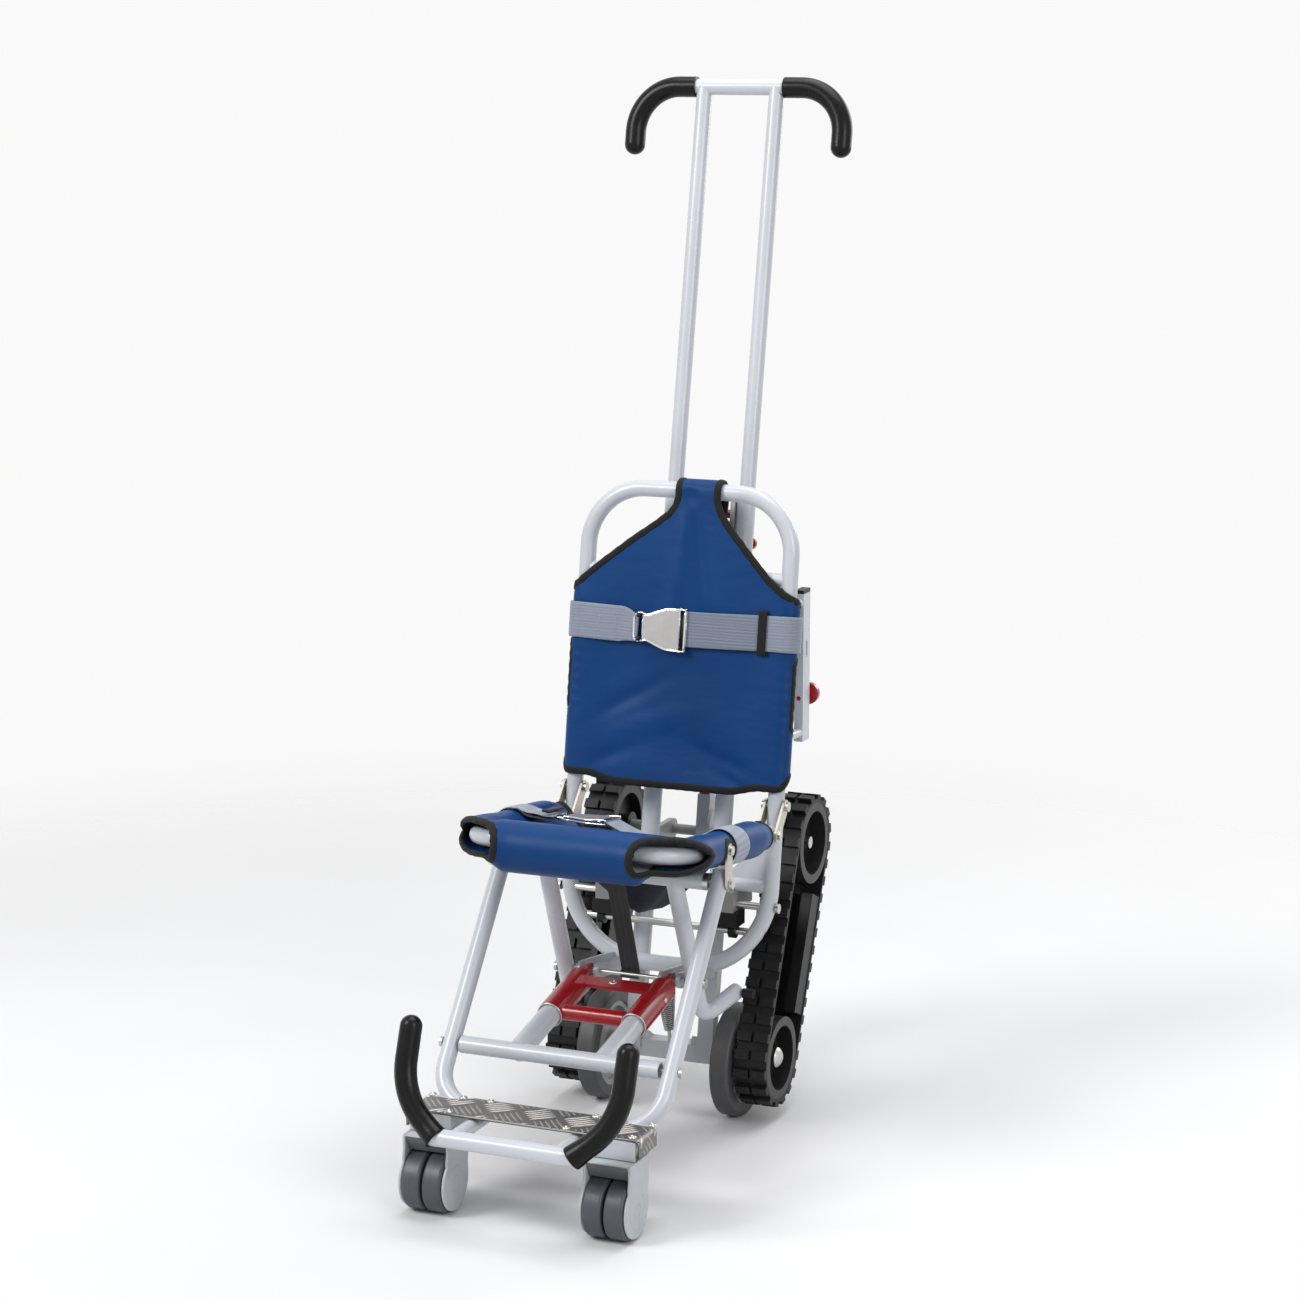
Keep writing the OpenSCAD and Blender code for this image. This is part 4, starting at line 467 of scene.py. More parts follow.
def strip(name, pairs, half, thick, mat, body, rib, ribs=7, rows=28):
    """A flat belt along pairs of point and normal: half widths in mm, with woven ribs along it."""
    front, back = [], []
    for (p, side, nm), w in zip(band_frames(pairs), half):
        fr, bk = [], []
        for k in range(rows + 1):
            v = 2 * k / rows - 1
            h = rib * cos(pi * ribs * v)
            edge = thick / 2 * (1 - 0.55 * abs(v) ** 12)
            fr.append(p + side * (v * w / 1000) + nm * (edge + h))
            bk.append(p + side * (v * w / 1000) - nm * (edge - h))
        front.append(fr)
        back.append(bk)
    return sheet_shell(name, front, back, mat, body)


def stitches(name, points, nm, body):
    """Short raised threads along a line of points."""
    r, step, gap = 0.00042, 3, 2
    verts, faces = [], []
    for i in range(0, len(points) - step, step + gap):
        a, b = points[i], points[i + step]
        side = (b - a).cross(nm).normalized()
        faces += ring_faces(3, 4, base=len(verts))
        for f, lift in ((0, -0.2), (0.5, 1.0), (1, -0.2)):
            p = a + (b - a) * f + nm * (r * 1.4 * lift)
            verts += [p - side * r, p + nm * r, p + side * r, p - nm * r]
    return new_mesh(name, verts, faces, "thread", body)


def tube_mesh(name, path, radius, mat, body, closed=False, sides=12):
    """A round wire or tube along a path, with one radius or a list of them."""
    ref = Vector((0.12, 0.21, 0.97))
    radii = radius if isinstance(radius, list) else [radius] * len(path)
    verts = []
    for i, (p, r) in enumerate(zip(path, radii)):
        d = heading(path, i, closed)
        u = d.cross(ref).normalized()
        w = u.cross(d)
        verts += [p + (u * cos(t) + w * sin(t)) * r for t in around(sides)]
    return new_mesh(name, verts, ring_faces(len(path), sides, closed), mat, body)


def plate(name, outline, place, z0, z1, mat, body, round_r=0.8):
    """A flat piece with softened edges: outline points in its plane, place() maps them to the part."""
    n, steps = len(outline), 4
    quarter = [pi / 2 * i / steps for i in range(steps + 1)]
    layers = [(round_r * (1 - sin(a)), z0 + round_r * (1 - cos(a))) for a in quarter]
    layers += [(round_r * (1 - cos(a)), z1 - round_r * (1 - sin(a))) for a in quarter]
    after = outline[1:] + outline[:1]
    way = 1 if sum(p[0] * q[1] - q[0] * p[1] for p, q in zip(outline, after)) > 0 else -1
    verts = []
    for d, z in layers:
        for (x0, y0), (x, y), (x1, y1) in zip(outline[-1:] + outline[:-1], outline, after):
            tx, ty = x1 - x0, y1 - y0
            run = hypot(tx, ty) or 1
            verts.append(place(x - ty / run * d * way, y + tx / run * d * way, z))
    ob = new_mesh(name, verts, ring_faces(len(layers), n), mat, body)
    for poly in ob.data.polygons:
        poly.use_smooth = len(poly.vertices) == 4
    return ob


# Back cover: one padded sheet that wraps the hoop sides, with a neck over the top tube
# Half width and length of the hoop, radius of the cover's skin round it, thickness, and the wraps
HOOP_W, HOOP_L = 143.6, 626
COVER_R, COVER_T = 16.2, 4.0
WRAP = COVER_R * radians(205)
NECK_WRAP = 88
# Left and right edges of the cover by height, and the notches that bare the side tubes
EDGE_L = [(437, -HOOP_W - WRAP), (674, -HOOP_W - WRAP), (684, -172), (695, -147), (719, -119), (753, -75),
          (776, -42), (790, -24), (800, -16), (812, -13), (960, -13)]
EDGE_R = [(437, HOOP_W + WRAP), (674, HOOP_W + WRAP), (684, 172), (694, 143), (712, 119), (744, 89),
          (776, 60), (790, 50), (802, 44), (812, 41), (960, 41)]
NOTCH_L = (528, 618)
NOTCH_R = (518, 612)
COVER_LOW = 438
# Slanting creases: depth, height z0 at q0, q0, slope, width, and the middle and spread across
CREASES = ((2.4, 585, 0, 0.55, 11, -70, 55), (1.8, 500, 0, -0.35, 10, 70, 55),
           (-2.0, 528, 0, 0.3, 16, -40, 60), (2.4, 462, 60, -0.50, 9, 88, 34),
           (2.0, 470, -90, 0.36, 10, -95, 36))


def cover_height(s):
    """Height of a point at length s up the hoop; past the top tube the length goes on rising."""
    return HOOP_Z + s * cos(BACK)


def cover_limit(s, side):
    z = cover_height(s)
    q = lerp_table(EDGE_L if side < 0 else EDGE_R, z)
    lo, hi = NOTCH_L if side < 0 else NOTCH_R
    if lo - 14 < z < hi + 14:
        k = ease((z - lo + 14) / 22) * ease((hi + 14 - z) / 22)
        q = side * (abs(q) * (1 - k) + (HOOP_W + COVER_R * radians(54 if side < 0 else 78)) * k)
    return q


def cover_point(q, s, depth):
    """The cover's outer skin, or the inner one at depth."""
    r = COVER_R - depth
    x, n = q, -r
    if s <= HOOP_L:
        over = abs(q) - HOOP_W
        if over > 0:
            a = over / COVER_R
            x = copysign(HOOP_W + r * sin(a), q)
            n = -r * cos(a)
        free = ease((HOOP_W - abs(q)) / 60)
        z = cover_height(s)
        slack = 5.0 * free * bell(z, 560, 110)
        mid = (q - 10) / 160
        # A soft hollow below the belt and two broad creases from the neck
        slack += free * 2.2 * sin((z - 445) / 27 + mid * 2.4) * bell(z, 480, 52) * bell(q, 40, 90)
        slack += free * 4.2 * bell(q - (790 - z) * 0.20, 10, 12) * ease((z - 610) / 60) * ease((835 - z) / 30)
        slack -= free * 3.4 * bell(q + (800 - z) * 0.16, 6, 13) * ease((z - 600) / 70) * ease((825 - z) / 30)
        for rise, z0, q0, slope, width, middle, spread in CREASES:
            slack += free * rise * bell(z - z0 - (q - q0) * slope, 0, width) * bell(q, middle, spread)
        # Small puckers where the binding gathers the edge
        side = -1 if q < 0 else 1
        edge = abs(abs(cover_limit(s, side)) - abs(q))
        calm = 1 - 0.85 * ease((z - 630) / 20)
        n += slack + 0.9 * calm * sin(z * 0.42 + q * 0.05) * bell(edge, 0, 16)
        return on_back(x, n, s)
    a = (s - HOOP_L) / COVER_R
    if a < pi:
        return on_back(x, -r * cos(a), HOOP_L + r * sin(a))
    down = s - HOOP_L - pi * COVER_R
    return on_back(x, r + 1.5 * sin(down / 9), HOOP_L - down)


def hem(q, s, s0):
    """The lower edge rises at its corners, clear of the seat plates when the seat folds up."""
    rise = 8.5 * ease((abs(q) - 78) / 48) + 17.5 * ease((abs(q) - 150) / 24)
    return s + rise * (1 - ease((s - s0) / 70))


def build_back_cover():
    top = HOOP_L + pi * COVER_R + NECK_WRAP * 0.5
    s0 = back_s(COVER_LOW)
    step, cols = 4.0, 96
    rows = [s0]
    while rows[-1] + step < top:
        rows.append(rows[-1] + step)
    rows.append(top)
    front, back = [], []
    for s in rows:
        ql, qr = cover_limit(s, -1), cover_limit(s, 1)
        # The columns stand a little closer near both edges
        share = [0.5 - 0.5 * cos(pi * i / cols) * 0.25 - 0.75 * (0.5 - i / cols) for i in range(1, cols)]
        qs = [ql] + [ql + (qr - ql) * k for k in share] + [qr]
        front.append([cover_point(q, hem(q, s, s0), 0) for q in qs])
        back.append([cover_point(q, hem(q, s, s0), COVER_T) for q in qs])
    ob = sheet_shell("back_cover_cloth", front, back, "vinyl", "chassis")
    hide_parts("back_cover")
    # Binding round the whole edge
    low_l, low_r = cover_limit(s0, -1), cover_limit(s0, 1)
    top_l, top_r = cover_limit(top, -1), cover_limit(top, 1)
    edge = [(low_l + (low_r - low_l) * i / 90, s0) for i in range(91)]
    edge += [(cover_limit(s, 1), s) for s in rows[1:]]
    edge += [(top_r + (top_l - top_r) * i / 12, top) for i in range(1, 13)]
    edge += [(cover_limit(s, -1), s) for s in rows[-2:0:-1]]
    pairs = []
    for q, s in edge:
        outer, inner = (cover_point(q, hem(q, s, s0), depth) for depth in (0, COVER_T))
        pairs.append(((outer + inner) / 2, (outer - inner).normalized()))
    ob = sweep("back_cover_binding", spaced(pairs, 0.0032), 0.0052, 0.0030, "chassis", closed=True,
               pucker=0.05, seed=3)
    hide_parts("back_cover")


build_back_cover()


# Seat cover: padded rolls round the U tube, a sling between them, open corners
# Half width and bend of the U tube, and the cover's rear end along it
SEAT_W, SEAT_BEND, SEAT_BACK = 143.6, 45, -28
# Radii of the rolls at the sides and in front, the front roll's drop, thickness, and the skin's lower edge
SIDE_R, FRONT_R, FRONT_DROP, SEAT_PAD_T, LOW_DEG = 22.5, 32.5, 7.0, 3.5, -128
# Height of the sling's edge, and its sag in front and at the rear
EDGE_Z, SHALLOW, DEEP = 6.6, 29, 112
# Lengths along the tube: a side, a bend, the front, all of it, and the place of the links
SEAT_SIDE = SEAT_RUN - SEAT_BEND + SEAT_BACK
SEAT_ARC = SEAT_BEND * pi / 2
SEAT_FRONT = 2 * (SEAT_W - SEAT_BEND)
SEAT_PATH = 2 * SEAT_SIDE + 2 * SEAT_ARC + SEAT_FRONT
LINK_T, LINK_HALF, LINK_DEG = 187 + SEAT_BACK, 15, 34
# Middles of the corner openings with the way to the front, their half length and half angle
HOLES = ((SEAT_PATH / 2 - SEAT_FRONT / 2 - SEAT_ARC * 0.47, 1),
         (SEAT_PATH / 2 + SEAT_FRONT / 2 + SEAT_ARC * 0.47, -1))
HOLE_T, HOLE_DEG, HOLE_MID = 42, 60, 2


def seat_sag(v):
    return SHALLOW * (0.4 + 0.6 * ease(v / 0.42)) + (DEEP - SHALLOW) * ease((v - 0.46) / 0.38)


def seat_path(t):
    """A point and outward direction on the U tube's centre line; t is the length from the left rear end."""
    mirror = t > SEAT_PATH / 2
    if mirror:
        t = SEAT_PATH - t
    if t < SEAT_SIDE:
        p, o = (-SEAT_W, SEAT_BACK - t), (-1, 0)
    elif t < SEAT_SIDE + SEAT_ARC:
        a = (t - SEAT_SIDE) / SEAT_BEND
        cx, cy = -SEAT_W + SEAT_BEND, -SEAT_RUN + SEAT_BEND
        o = (-cos(a), -sin(a))
        p = (cx + SEAT_BEND * o[0], cy + SEAT_BEND * o[1])
    else:
        p, o = (-SEAT_W + SEAT_BEND + (t - SEAT_SIDE - SEAT_ARC), -SEAT_RUN), (0, -1)
    if mirror:
        return (-p[0], p[1]), (-o[0], o[1])
    return p, o


def at_front(t):
    """1 along the front of the tube, 0 along its sides."""
    return 1 - ease((abs(t - SEAT_PATH / 2) - SEAT_FRONT / 2 + 12) / 26)


def roll_radius(t):
    """The roll swells along the front and is pinched where the corner bindings gather it."""
    side = SIDE_R + 1.6 * sin(t / 37.0) * ease((abs(t - SEAT_PATH / 2) - SEAT_FRONT / 2 - 60) / 60)
    side -= 5.5 * (1 - ease(min(t, SEAT_PATH - t) / 46))
    return side + (FRONT_R - side) * at_front(t)


def hang(t):
    """Drop of the roll's centre below the tube along the front."""
    return -FRONT_DROP * at_front(t)


def hole_half(u):
    """Half angle of a corner opening at u, from -1 at its pointed outer end to 1 at the front roll."""
    if abs(u) >= 1:
        return 0.0
    return HOLE_DEG * (1 - abs(u) ** 3.2) ** 0.5 if u > 0 else HOLE_DEG * (1 - abs(u) ** 1.5)


def lip(t, deg):
    """The cloth stands off round the corner openings."""
    out = 0.0
    for tc, way in HOLES:
        u = (t - tc) * way / HOLE_T
        if -1.5 < u < 1.35:
            h = hole_half(max(-0.98, min(0.98, u)))
            near = bell(abs(deg) - h, 0, 22) * bell(max(abs(u) - 0.8, 0), 0, 0.35)
            out = max(out, 3.2 * near)
    return out


def smax(a, b, k):
    h = max(k - abs(a - b), 0) / k
    return max(a, b) + h * h * k * 0.25


def roll_profile(d, r):
    """Height of the roll's top at distance d inward from the tube's centre line."""
    d = max(d, 0)
    lim = 0.72 * r
    if d < lim:
        return sqrt(r * r - d * d)
    slope = lim / sqrt(r * r - lim * lim)
    return sqrt(r * r - lim * lim) - slope * (d - lim)


def seat_height(x, y, r, drop):
    side = roll_profile(SEAT_W - abs(x), r) + drop
    front = roll_profile(y + SEAT_RUN, FRONT_R) - FRONT_DROP
    v = (y + SEAT_RUN) / (SEAT_RUN + SEAT_BACK)
    u = min(1, abs(x) / (SEAT_W - 11))
    s = EDGE_Z - seat_sag(v) * (1 - u ** 2.4)
    # Soft folds that run from the corners and across the deep part
    folds = 1.5 * bell(x + y * 0.5 + 175, 0, 9) + 1.3 * bell(x - y * 0.5 - 170, 0, 9)
    folds += 1.2 * sin(x / 11 + y / 40) * bell(y, -80, 50) * (1 - u)
    return smax(smax(side, front, 9), s + folds, 16)


def roll_point(t, deg, grow=0.0):
    """A point in the middle of the roll's skin at length t and angle deg."""
    (px, py), (ox, oy) = seat_path(t)
    r = roll_radius(t) - SEAT_PAD_T / 2 + grow + lip(t, deg)
    a = radians(deg)
    return on_seat(px + ox * r * cos(a), py + oy * r * cos(a), r * sin(a) + hang(t))


def roll_pairs(places):
    return [(roll_point(*p), (roll_point(*p, 3) - roll_point(*p)).normalized()) for p in places]


def in_hole(t, deg):
    return any(abs(t - tc) < HOLE_T and abs(deg - HOLE_MID) < hole_half((t - tc) * way / HOLE_T)
               for tc, way in HOLES)


DEGS = list(range(LOW_DEG, 0, 8)) + list(range(0, 89, 8))
INWARD = (0.02, 0.05, 0.09, 0.13, 0.18, 0.23, 0.29, 0.35, 0.42, 0.49, 0.57, 0.65, 0.73, 0.82, 0.91, 1.0)


def seat_skin(t, depth):
    """One strip of the cover: round the roll, then inward to the spine of the sling."""
    (px, py), (ox, oy) = seat_path(t)
    r = roll_radius(t)
    pts = []
    for deg in DEGS:
        a = radians(deg)
        rr = r - depth + lip(t, deg) + 0.7 * sin(t * 0.55) * bell(deg, LOW_DEG, 26)
        d = rr * cos(a)
        pts.append(on_seat(px + ox * d, py + oy * d, rr * sin(a) + hang(t)))
    spine = -SEAT_RUN + 118
    k = 1 - ease((abs(t - SEAT_PATH / 2) - SEAT_FRONT / 2 + 20) / (SEAT_ARC + 30))
    ty = py * (1 - k) + spine * k if py > spine else spine
    for f in INWARD:
        x, y = px - px * f, py + (ty - py) * f
        pts.append(on_seat(x, y, seat_height(x, y, r, hang(t)) - depth))
    return pts


def build_seat_cover():
    n = int(SEAT_PATH / 3.4)
    n += n % 2
    layers = [[seat_skin(SEAT_PATH * i / n, depth) for i in range(n + 1)] for depth in (0, SEAT_PAD_T)]
    verts, faces, index = [], [], {}

    def vid(layer, i, k):
        key = (layer, i, k)
        if key not in index:
            index[key] = len(verts)
            verts.append(layers[layer][i][k])
        return index[key]

    # Both skins with their openings; edges left single are closed by a rim
    edges, lining = {}, []
    for i in range(n):
        t = SEAT_PATH * (i + 0.5) / n
        link_t = abs(t - SEAT_PATH / 2) - (SEAT_PATH / 2 - LINK_T)
        for k in range(len(DEGS) + len(INWARD) - 1):
            if k < len(DEGS) - 1:
                deg = (DEGS[k] + DEGS[k + 1]) / 2
                notch = deg < LINK_DEG and (link_t / LINK_HALF) ** 2 + (max(deg, 0) / LINK_DEG) ** 2 < 1
                if notch or in_hole(t, deg):
                    continue
            q = [(i, k), (i + 1, k), (i + 1, k + 1), (i, k + 1)]
            faces.append(tuple(vid(0, *p) for p in q))
            faces.append(tuple(vid(1, *p) for p in reversed(q)))
            lining += [False, k > len(DEGS) - 4]
            for a, b in zip(q, q[1:] + q[:1]):
                if (b, a) in edges:
                    del edges[(b, a)]
                else:
                    edges[(a, b)] = True
    for a, b in edges:
        faces.append((vid(0, *b), vid(0, *a), vid(1, *a), vid(1, *b)))
        lining.append(False)
    ob = plain_mesh("seat_cover_cloth", verts, faces, MATS["vinyl"])
    ob.data.materials.append(MATS["vinyl_back"])
    for poly, inside in zip(ob.data.polygons, lining):
        poly.material_index = 1 if inside else 0
    fix_normals(ob, 0.0004)
    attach(ob, "seat")
    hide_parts("seat_cover", "seat_sling")

    def bind(name, pairs, half_w, half_t, pucker, seed, closed=False):
        ob = sweep(name, pairs, half_w, half_t, "seat", closed, pucker=pucker, seed=seed)
        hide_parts("seat_cover")

    # Small notches that clear the tops of the links
    for way in (1, -1):
        tl = SEAT_PATH / 2 - way * (SEAT_PATH / 2 - LINK_T)
        climb = [LOW_DEG + 6 + i * 6 for i in range(20)]
        notch = [(tl - LINK_HALF, deg) for deg in climb]
        notch += [(tl - LINK_HALF * cos(pi * i / 16), LINK_DEG * sin(pi * i / 16)) for i in range(17)]
        notch += [(tl + LINK_HALF, deg) for deg in reversed(climb)]
        bind(f"seat_link_binding_{way + 1}", roll_pairs(notch), 0.0048, 0.0030, 0.10, 31 + way)
    # Round each corner opening, evenly spaced so that the puckers stay alike
    for j, (tc, way) in enumerate(HOLES):
        us = [-cos(pi * i / 34) for i in range(35)]
        loop = [(tc + way * u * HOLE_T, HOLE_MID + hole_half(u)) for u in us]
        loop += [(tc + way * u * HOLE_T, HOLE_MID - hole_half(u)) for u in reversed(us[1:-1])]
        pts = [loop[0]]
        for p0, p1 in zip(loop, loop[1:] + loop[:1]):
            count = max(1, round((roll_point(*p1) - roll_point(*p0)).length / 0.004))
            pts += [(p0[0] + (p1[0] - p0[0]) * k / count, p0[1] + (p1[1] - p0[1]) * k / count)
                    for k in range(1, count + 1)]
        bind(f"seat_corner_binding_{j}", roll_pairs(pts[:-1]), 0.0052, 0.0032, 0.16, 11 + j, True)
    # Along the lower edge, and up and across the rear
    low = [(SEAT_PATH * i / 240, LOW_DEG + 1) for i in range(241)]
    bind("seat_lower_binding", roll_pairs(low), 0.0048, 0.0028, 0.10, 21)
    left, right = (layers[0][i][len(DEGS):] for i in (0, n))
    rear = roll_pairs([(1.0, deg) for deg in DEGS])
    rear += [(p, Vector((0, 0, 1))) for p in left + right[-2::-1]]
    rear += roll_pairs([(SEAT_PATH - 1.0, deg) for deg in reversed(DEGS)])
    bind("seat_rear_binding", spaced(rear, 0.004), 0.0048, 0.0028, 0.10, 23)


build_seat_cover()


# Belts: height up the hoop, plane, radius round the hoop and half width of the chest belt
CHEST_S, BELT_N, BELT_R, BELT_HALF = back_s(645), -18.9, 19.2, 23.5


def chest_point(x, v, n):
    """x across, v up the belt and n forward from its plane."""
    return on_back(x, BELT_N - n, CHEST_S + v)


def hoop_wrap(side, degs):
    """Points and normals of the belt round one side of the hoop."""
    pairs = []
    for a in map(radians, degs):
        pairs.append((on_back(side * HOOP_W + BELT_R * sin(a), -BELT_R * cos(a), CHEST_S),
                      on_back(sin(a), -cos(a), 0) - on_back(0, 0, 0)))
    return pairs


def chest_belt():
    fwd = (on_back(0, -1, 0) - on_back(0, 0, 0)).normalized()
    # Left length: round the hoop side, across, and drawn together into the buckle's loop
    left = hoop_wrap(-1, range(-150, 1, 6))
    half = [BELT_HALF] * len(left)
    x = -HOOP_W + 2
    while x < -57:
        k = ease((x + 84) / 24)
        left.append((on_back(x, -BELT_R - 2.2 * k + 0.7 * sin(x / 13),
                             CHEST_S - 1.5 * (x + HOOP_W) / 60 - 3.2 * k), fwd))
        half.append(BELT_HALF - 5.5 * k)
        x += 2.0
    ob = strip("chest_belt_left", left, half, 0.0018, "web_x", "chassis", 0.0001)
    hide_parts("chest_belt")
    # The turned-back layer, a little wider apart where it leaves the loop
    strip("chest_belt_left_under", [(p - fwd * 0.0022, nm) for p, nm in left[18:]],
          [w * 0.985 for w in half[18:]], 0.0016, "web_x", "chassis", 0.0002)
    for x in (-113, -89):
        line = [chest_point(x, -22 + i * 0.9, 1.5) for i in range(47)]
        stitches(f"chest_stitch_{-x}", line, fwd, "chassis")
    # Right length, double behind the keeper
    right = []
    x = 6.0
    while x < HOOP_W - 1:
        right.append((on_back(x, -BELT_R + 0.5 * sin(x / 17),
                              CHEST_S - 2.5 * ease((HOOP_W - x) / 130)), fwd))
        x += 2.2
    half = [BELT_HALF - 0.2] * len(right)
    wrap = hoop_wrap(1, range(0, 151, 6))
    ob = strip("chest_belt_right", right + wrap, half + [BELT_HALF] * len(wrap), 0.0018, "web_mid",
               "chassis", 0.00008, ribs=9, rows=46)
    # Past the keeper only the plain single layer shows
    ob.data.materials.append(MATS["web_x"])
    for poly in ob.data.polygons:
        poly.material_index = 1 if poly.center.x > 0.119 else 0
    # Keeper: a black loop round both layers
    pairs = []
    for a in around(48):
        v, n = 28.5 * spow(cos(a), 0.25), 2.6 * spow(sin(a), 0.6)
        pairs.append((chest_point(117.5, v, n + 0.3), chest_point(117.5, v + cos(a), n + sin(a) * 3)
                      - chest_point(117.5, v, n)))
    sweep("chest_keeper", pairs, 0.0060, 0.0009, "chassis", closed=True, sides=12, power=0.5)


def buckle_half(x):
    """Half height of the buckle at x from its narrow end: waisted, then wide."""
    return 19.5 - 1.3 * bell(x, 9, 7) + 9.0 * ease((x - 6) / 36)


def buckle(belt, place, base_body):
    """A plain lift-lever buckle: tray with raised rims, lever, hinge roller and a slotted narrow end."""
    n, length = 30, 63.0
    prefix, flap = belt + "_buckle_new", belt + "_flap"

    def side(x0, x1, inset):
        xs = [x0 + (x1 - x0) * i / n for i in range(n + 1)]
        return [(x, buckle_half(x) - inset) for x in xs]

    def mirrored(pts):
        return pts + [(x, -y) for x, y in reversed(pts)]

    def rod(end, pts, r, mat="chrome"):
        tube_mesh(prefix + end, [place(*p) for p in pts], r, mat, base_body)

    ob = plate(prefix + "_base", mirrored(side(0, length, 0)), place, 0.2, 2.4, "chrome", base_body, 1.0)
    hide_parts(belt + "_buckle")
    wall = [(x, y, 5.2 + 1.6 * ease((x - 38) / 18)) for x, y in side(2, length, 1.2)]
    for way in (-1, 1):
        mark = f"_{way + 1}"
        verts = [place(x, way * (y + dy), z) for x, y, top in wall
                 for dy, z in ((-0.8, 1.8), (0.8, 1.8), (0.8, top), (-0.8, top))]
        new_mesh(prefix + "_side" + mark, verts, ring_faces(len(wall), 4), "chrome", base_body, smooth=False)
        rod("_rim" + mark, [(x, way * y, top) for x, y, top in wall], 0.0012)
        # Ends of the slot roller and of the hinge pin
        rod("_roller" + mark, [(-3.5, way * y, 4.2) for y in (13.0, 18.5)], 0.0034, "black_plastic")
        pin = [(length - 7, way * (buckle_half(length) + d), 4.6) for d in (-0.6, 0.9)]
        rod("_pin_end" + mark, pin, 0.0020)
    # Frame of the slot that the webbing turns round
    slot = [(3, 18.2, 3.0), (-4, 18.4, 3.4), (-9.5, 16.4, 3.4), (-10.5, 12, 3.4)]
    rod("_slot", slot + [(-10.5, 0, 3.4)] + [(x, -y, z) for x, y, z in reversed(slot)], 0.0017)
    # End wall behind the dark strip where the belt runs in
    rod("_end_wall", [(length - 0.8, y, 5.4) for y in (-26, -20, -10, 0, 10, 20, 26)], 0.0014)
    plate(prefix + "_strip", rect(length - 7, -26, length - 1.6, 26), place, 2.2, 3.2, "black_plastic",
          base_body, 0.3)
    # Lever: satin plate with a polished turned-down edge
    ob = plate(prefix + "_lever", mirrored(side(3.5, length - 8.0, 2.9)), place, 4.8, 6.6, "satin", flap, 0.6)
    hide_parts(flap)
    edge = [place(x, y, 5.9) for x, y in mirrored(side(3.5, length - 8.0, 2.7))]
    tube_mesh(prefix + "_lever_edge", edge, 0.0007, "chrome", flap, closed=True, sides=8)


chest_belt()
buckle("chest", lambda x, y, z: on_back(-52 + x, BELT_N - z + 0.6, CHEST_S - 3.6 + y - 0.02 * x), "chassis")

# Lap belt: over each side roll and across to the buckle, with a black band just below its left length
# Place along the seat, radius round the roll and height of the buckle's plane
LAP_Y = (-209 + 9 + 3.6 - SEAT_Y0) / cos(SEAT_TILT) + 23.5
LAP_R = 24.0
LAP_N = 22.4 - 12 - 3 - 0.3 + 6


def lap_length(name, side, x_end, n_end, half, mat, drop, y_off=0.0, low_deg=-62, shrink=0.0):
    """A length from under a side roll, over it and down to x_end, n_end at the buckle."""
    slope = atan2(LAP_R - n_end, SEAT_W - abs(x_end))
    r = LAP_R - shrink
    pairs = []
    for i in range(22):
        a = radians(low_deg + (90 + degrees(slope) * 0.8 - low_deg) * i / 21)
        pairs.append((on_seat(side * (SEAT_W + r * cos(a)), LAP_Y + y_off, r * sin(a)),
                      on_seat(side * cos(a), 0, sin(a)) - on_seat(0, 0, 0)))
    up = (on_seat(0, 0, 1) - on_seat(0, 0, 0)).normalized()
    xa = SEAT_W - LAP_R * sin(slope * 0.8)
    na = r * cos(slope * 0.8)
    for i in range(1, 26):
        f = i / 25
        x = side * (xa + (side * x_end - xa) * f)
        n = na + (n_end - na) * f - drop * sin(pi * f) + 0.5 * sin(f * 14)
        n = max(n, seat_height(x, LAP_Y + y_off, SIDE_R, 0) + 1.4)
        pairs.append((on_seat(x, LAP_Y + y_off * (1 - f), n), up))
    return strip(name, pairs, [half] * len(pairs), 0.0018, mat, "seat", 0.0002)


ob = lap_length("lap_belt_left", -1, -84, LAP_N + 4, 22.5, "web_lap", 1.5)
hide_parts("lap_belt")
# A black band under the left length, offset along the seat and hanging lower
lap_length("lap_belt_left_under", -1, -84, LAP_N + 1.5, 21.5, "strap", 5.0, -5.0, 20, 1.0)
lap_length("lap_belt_right", 1, -12, LAP_N + 3, 22.5, "web_lap", 21.0)
# Black adjusting buckle on the left length
plate("lap_adjuster", rect(-100, -25, -89, 25),
      lambda x, y, z: on_seat(x, LAP_Y + y, LAP_N + 7.2 - (x + 78) * 0.10 + z), 0.0, 3.4, "black_plastic",
      "seat", 1.2)
buckle("lap", lambda x, y, z: on_seat(-75 + x, LAP_Y + y, LAP_N + z), "seat")


# Footplate: folded sheet with five-bar tread and dome-head screws
# Height of the outer skin, half width, front and rear edges, depth and radius of the folds
PLATE_Z, PLATE_HALF = 125.378, 155
PLATE_FRONT, PLATE_REAR = -476, -411.4
PLATE_FOLD, PLATE_R = 22, 8
PLATE_FULL = PLATE_HALF - PLATE_R + PLATE_R * pi / 2 + PLATE_FOLD - PLATE_R


def plate_point(u, v, h):
    """u across from the middle and round the folds, v depth in mm, h height above the outer skin."""
    flat = PLATE_HALF - PLATE_R
    side = -1 if u < 0 else 1
    a = abs(u)
    r = PLATE_R + h
    fold = PLATE_R * pi / 2
    if a <= flat:
        return mm(u, v, PLATE_Z + h)
    if a <= flat + fold:
        t = (a - flat) / PLATE_R
        return mm(side * (flat + r * sin(t)), v, PLATE_Z - PLATE_R + r * cos(t))
    return mm(side * (flat + r), v, PLATE_Z - PLATE_R - (a - flat - fold))


def plate_rear(u):
    """The rear edge stands back from the leg bends near the ends."""
    return PLATE_REAR - 12.5 * ease((abs(u) - 92) / 14) if abs(u) < 152 else PLATE_REAR - 12.5


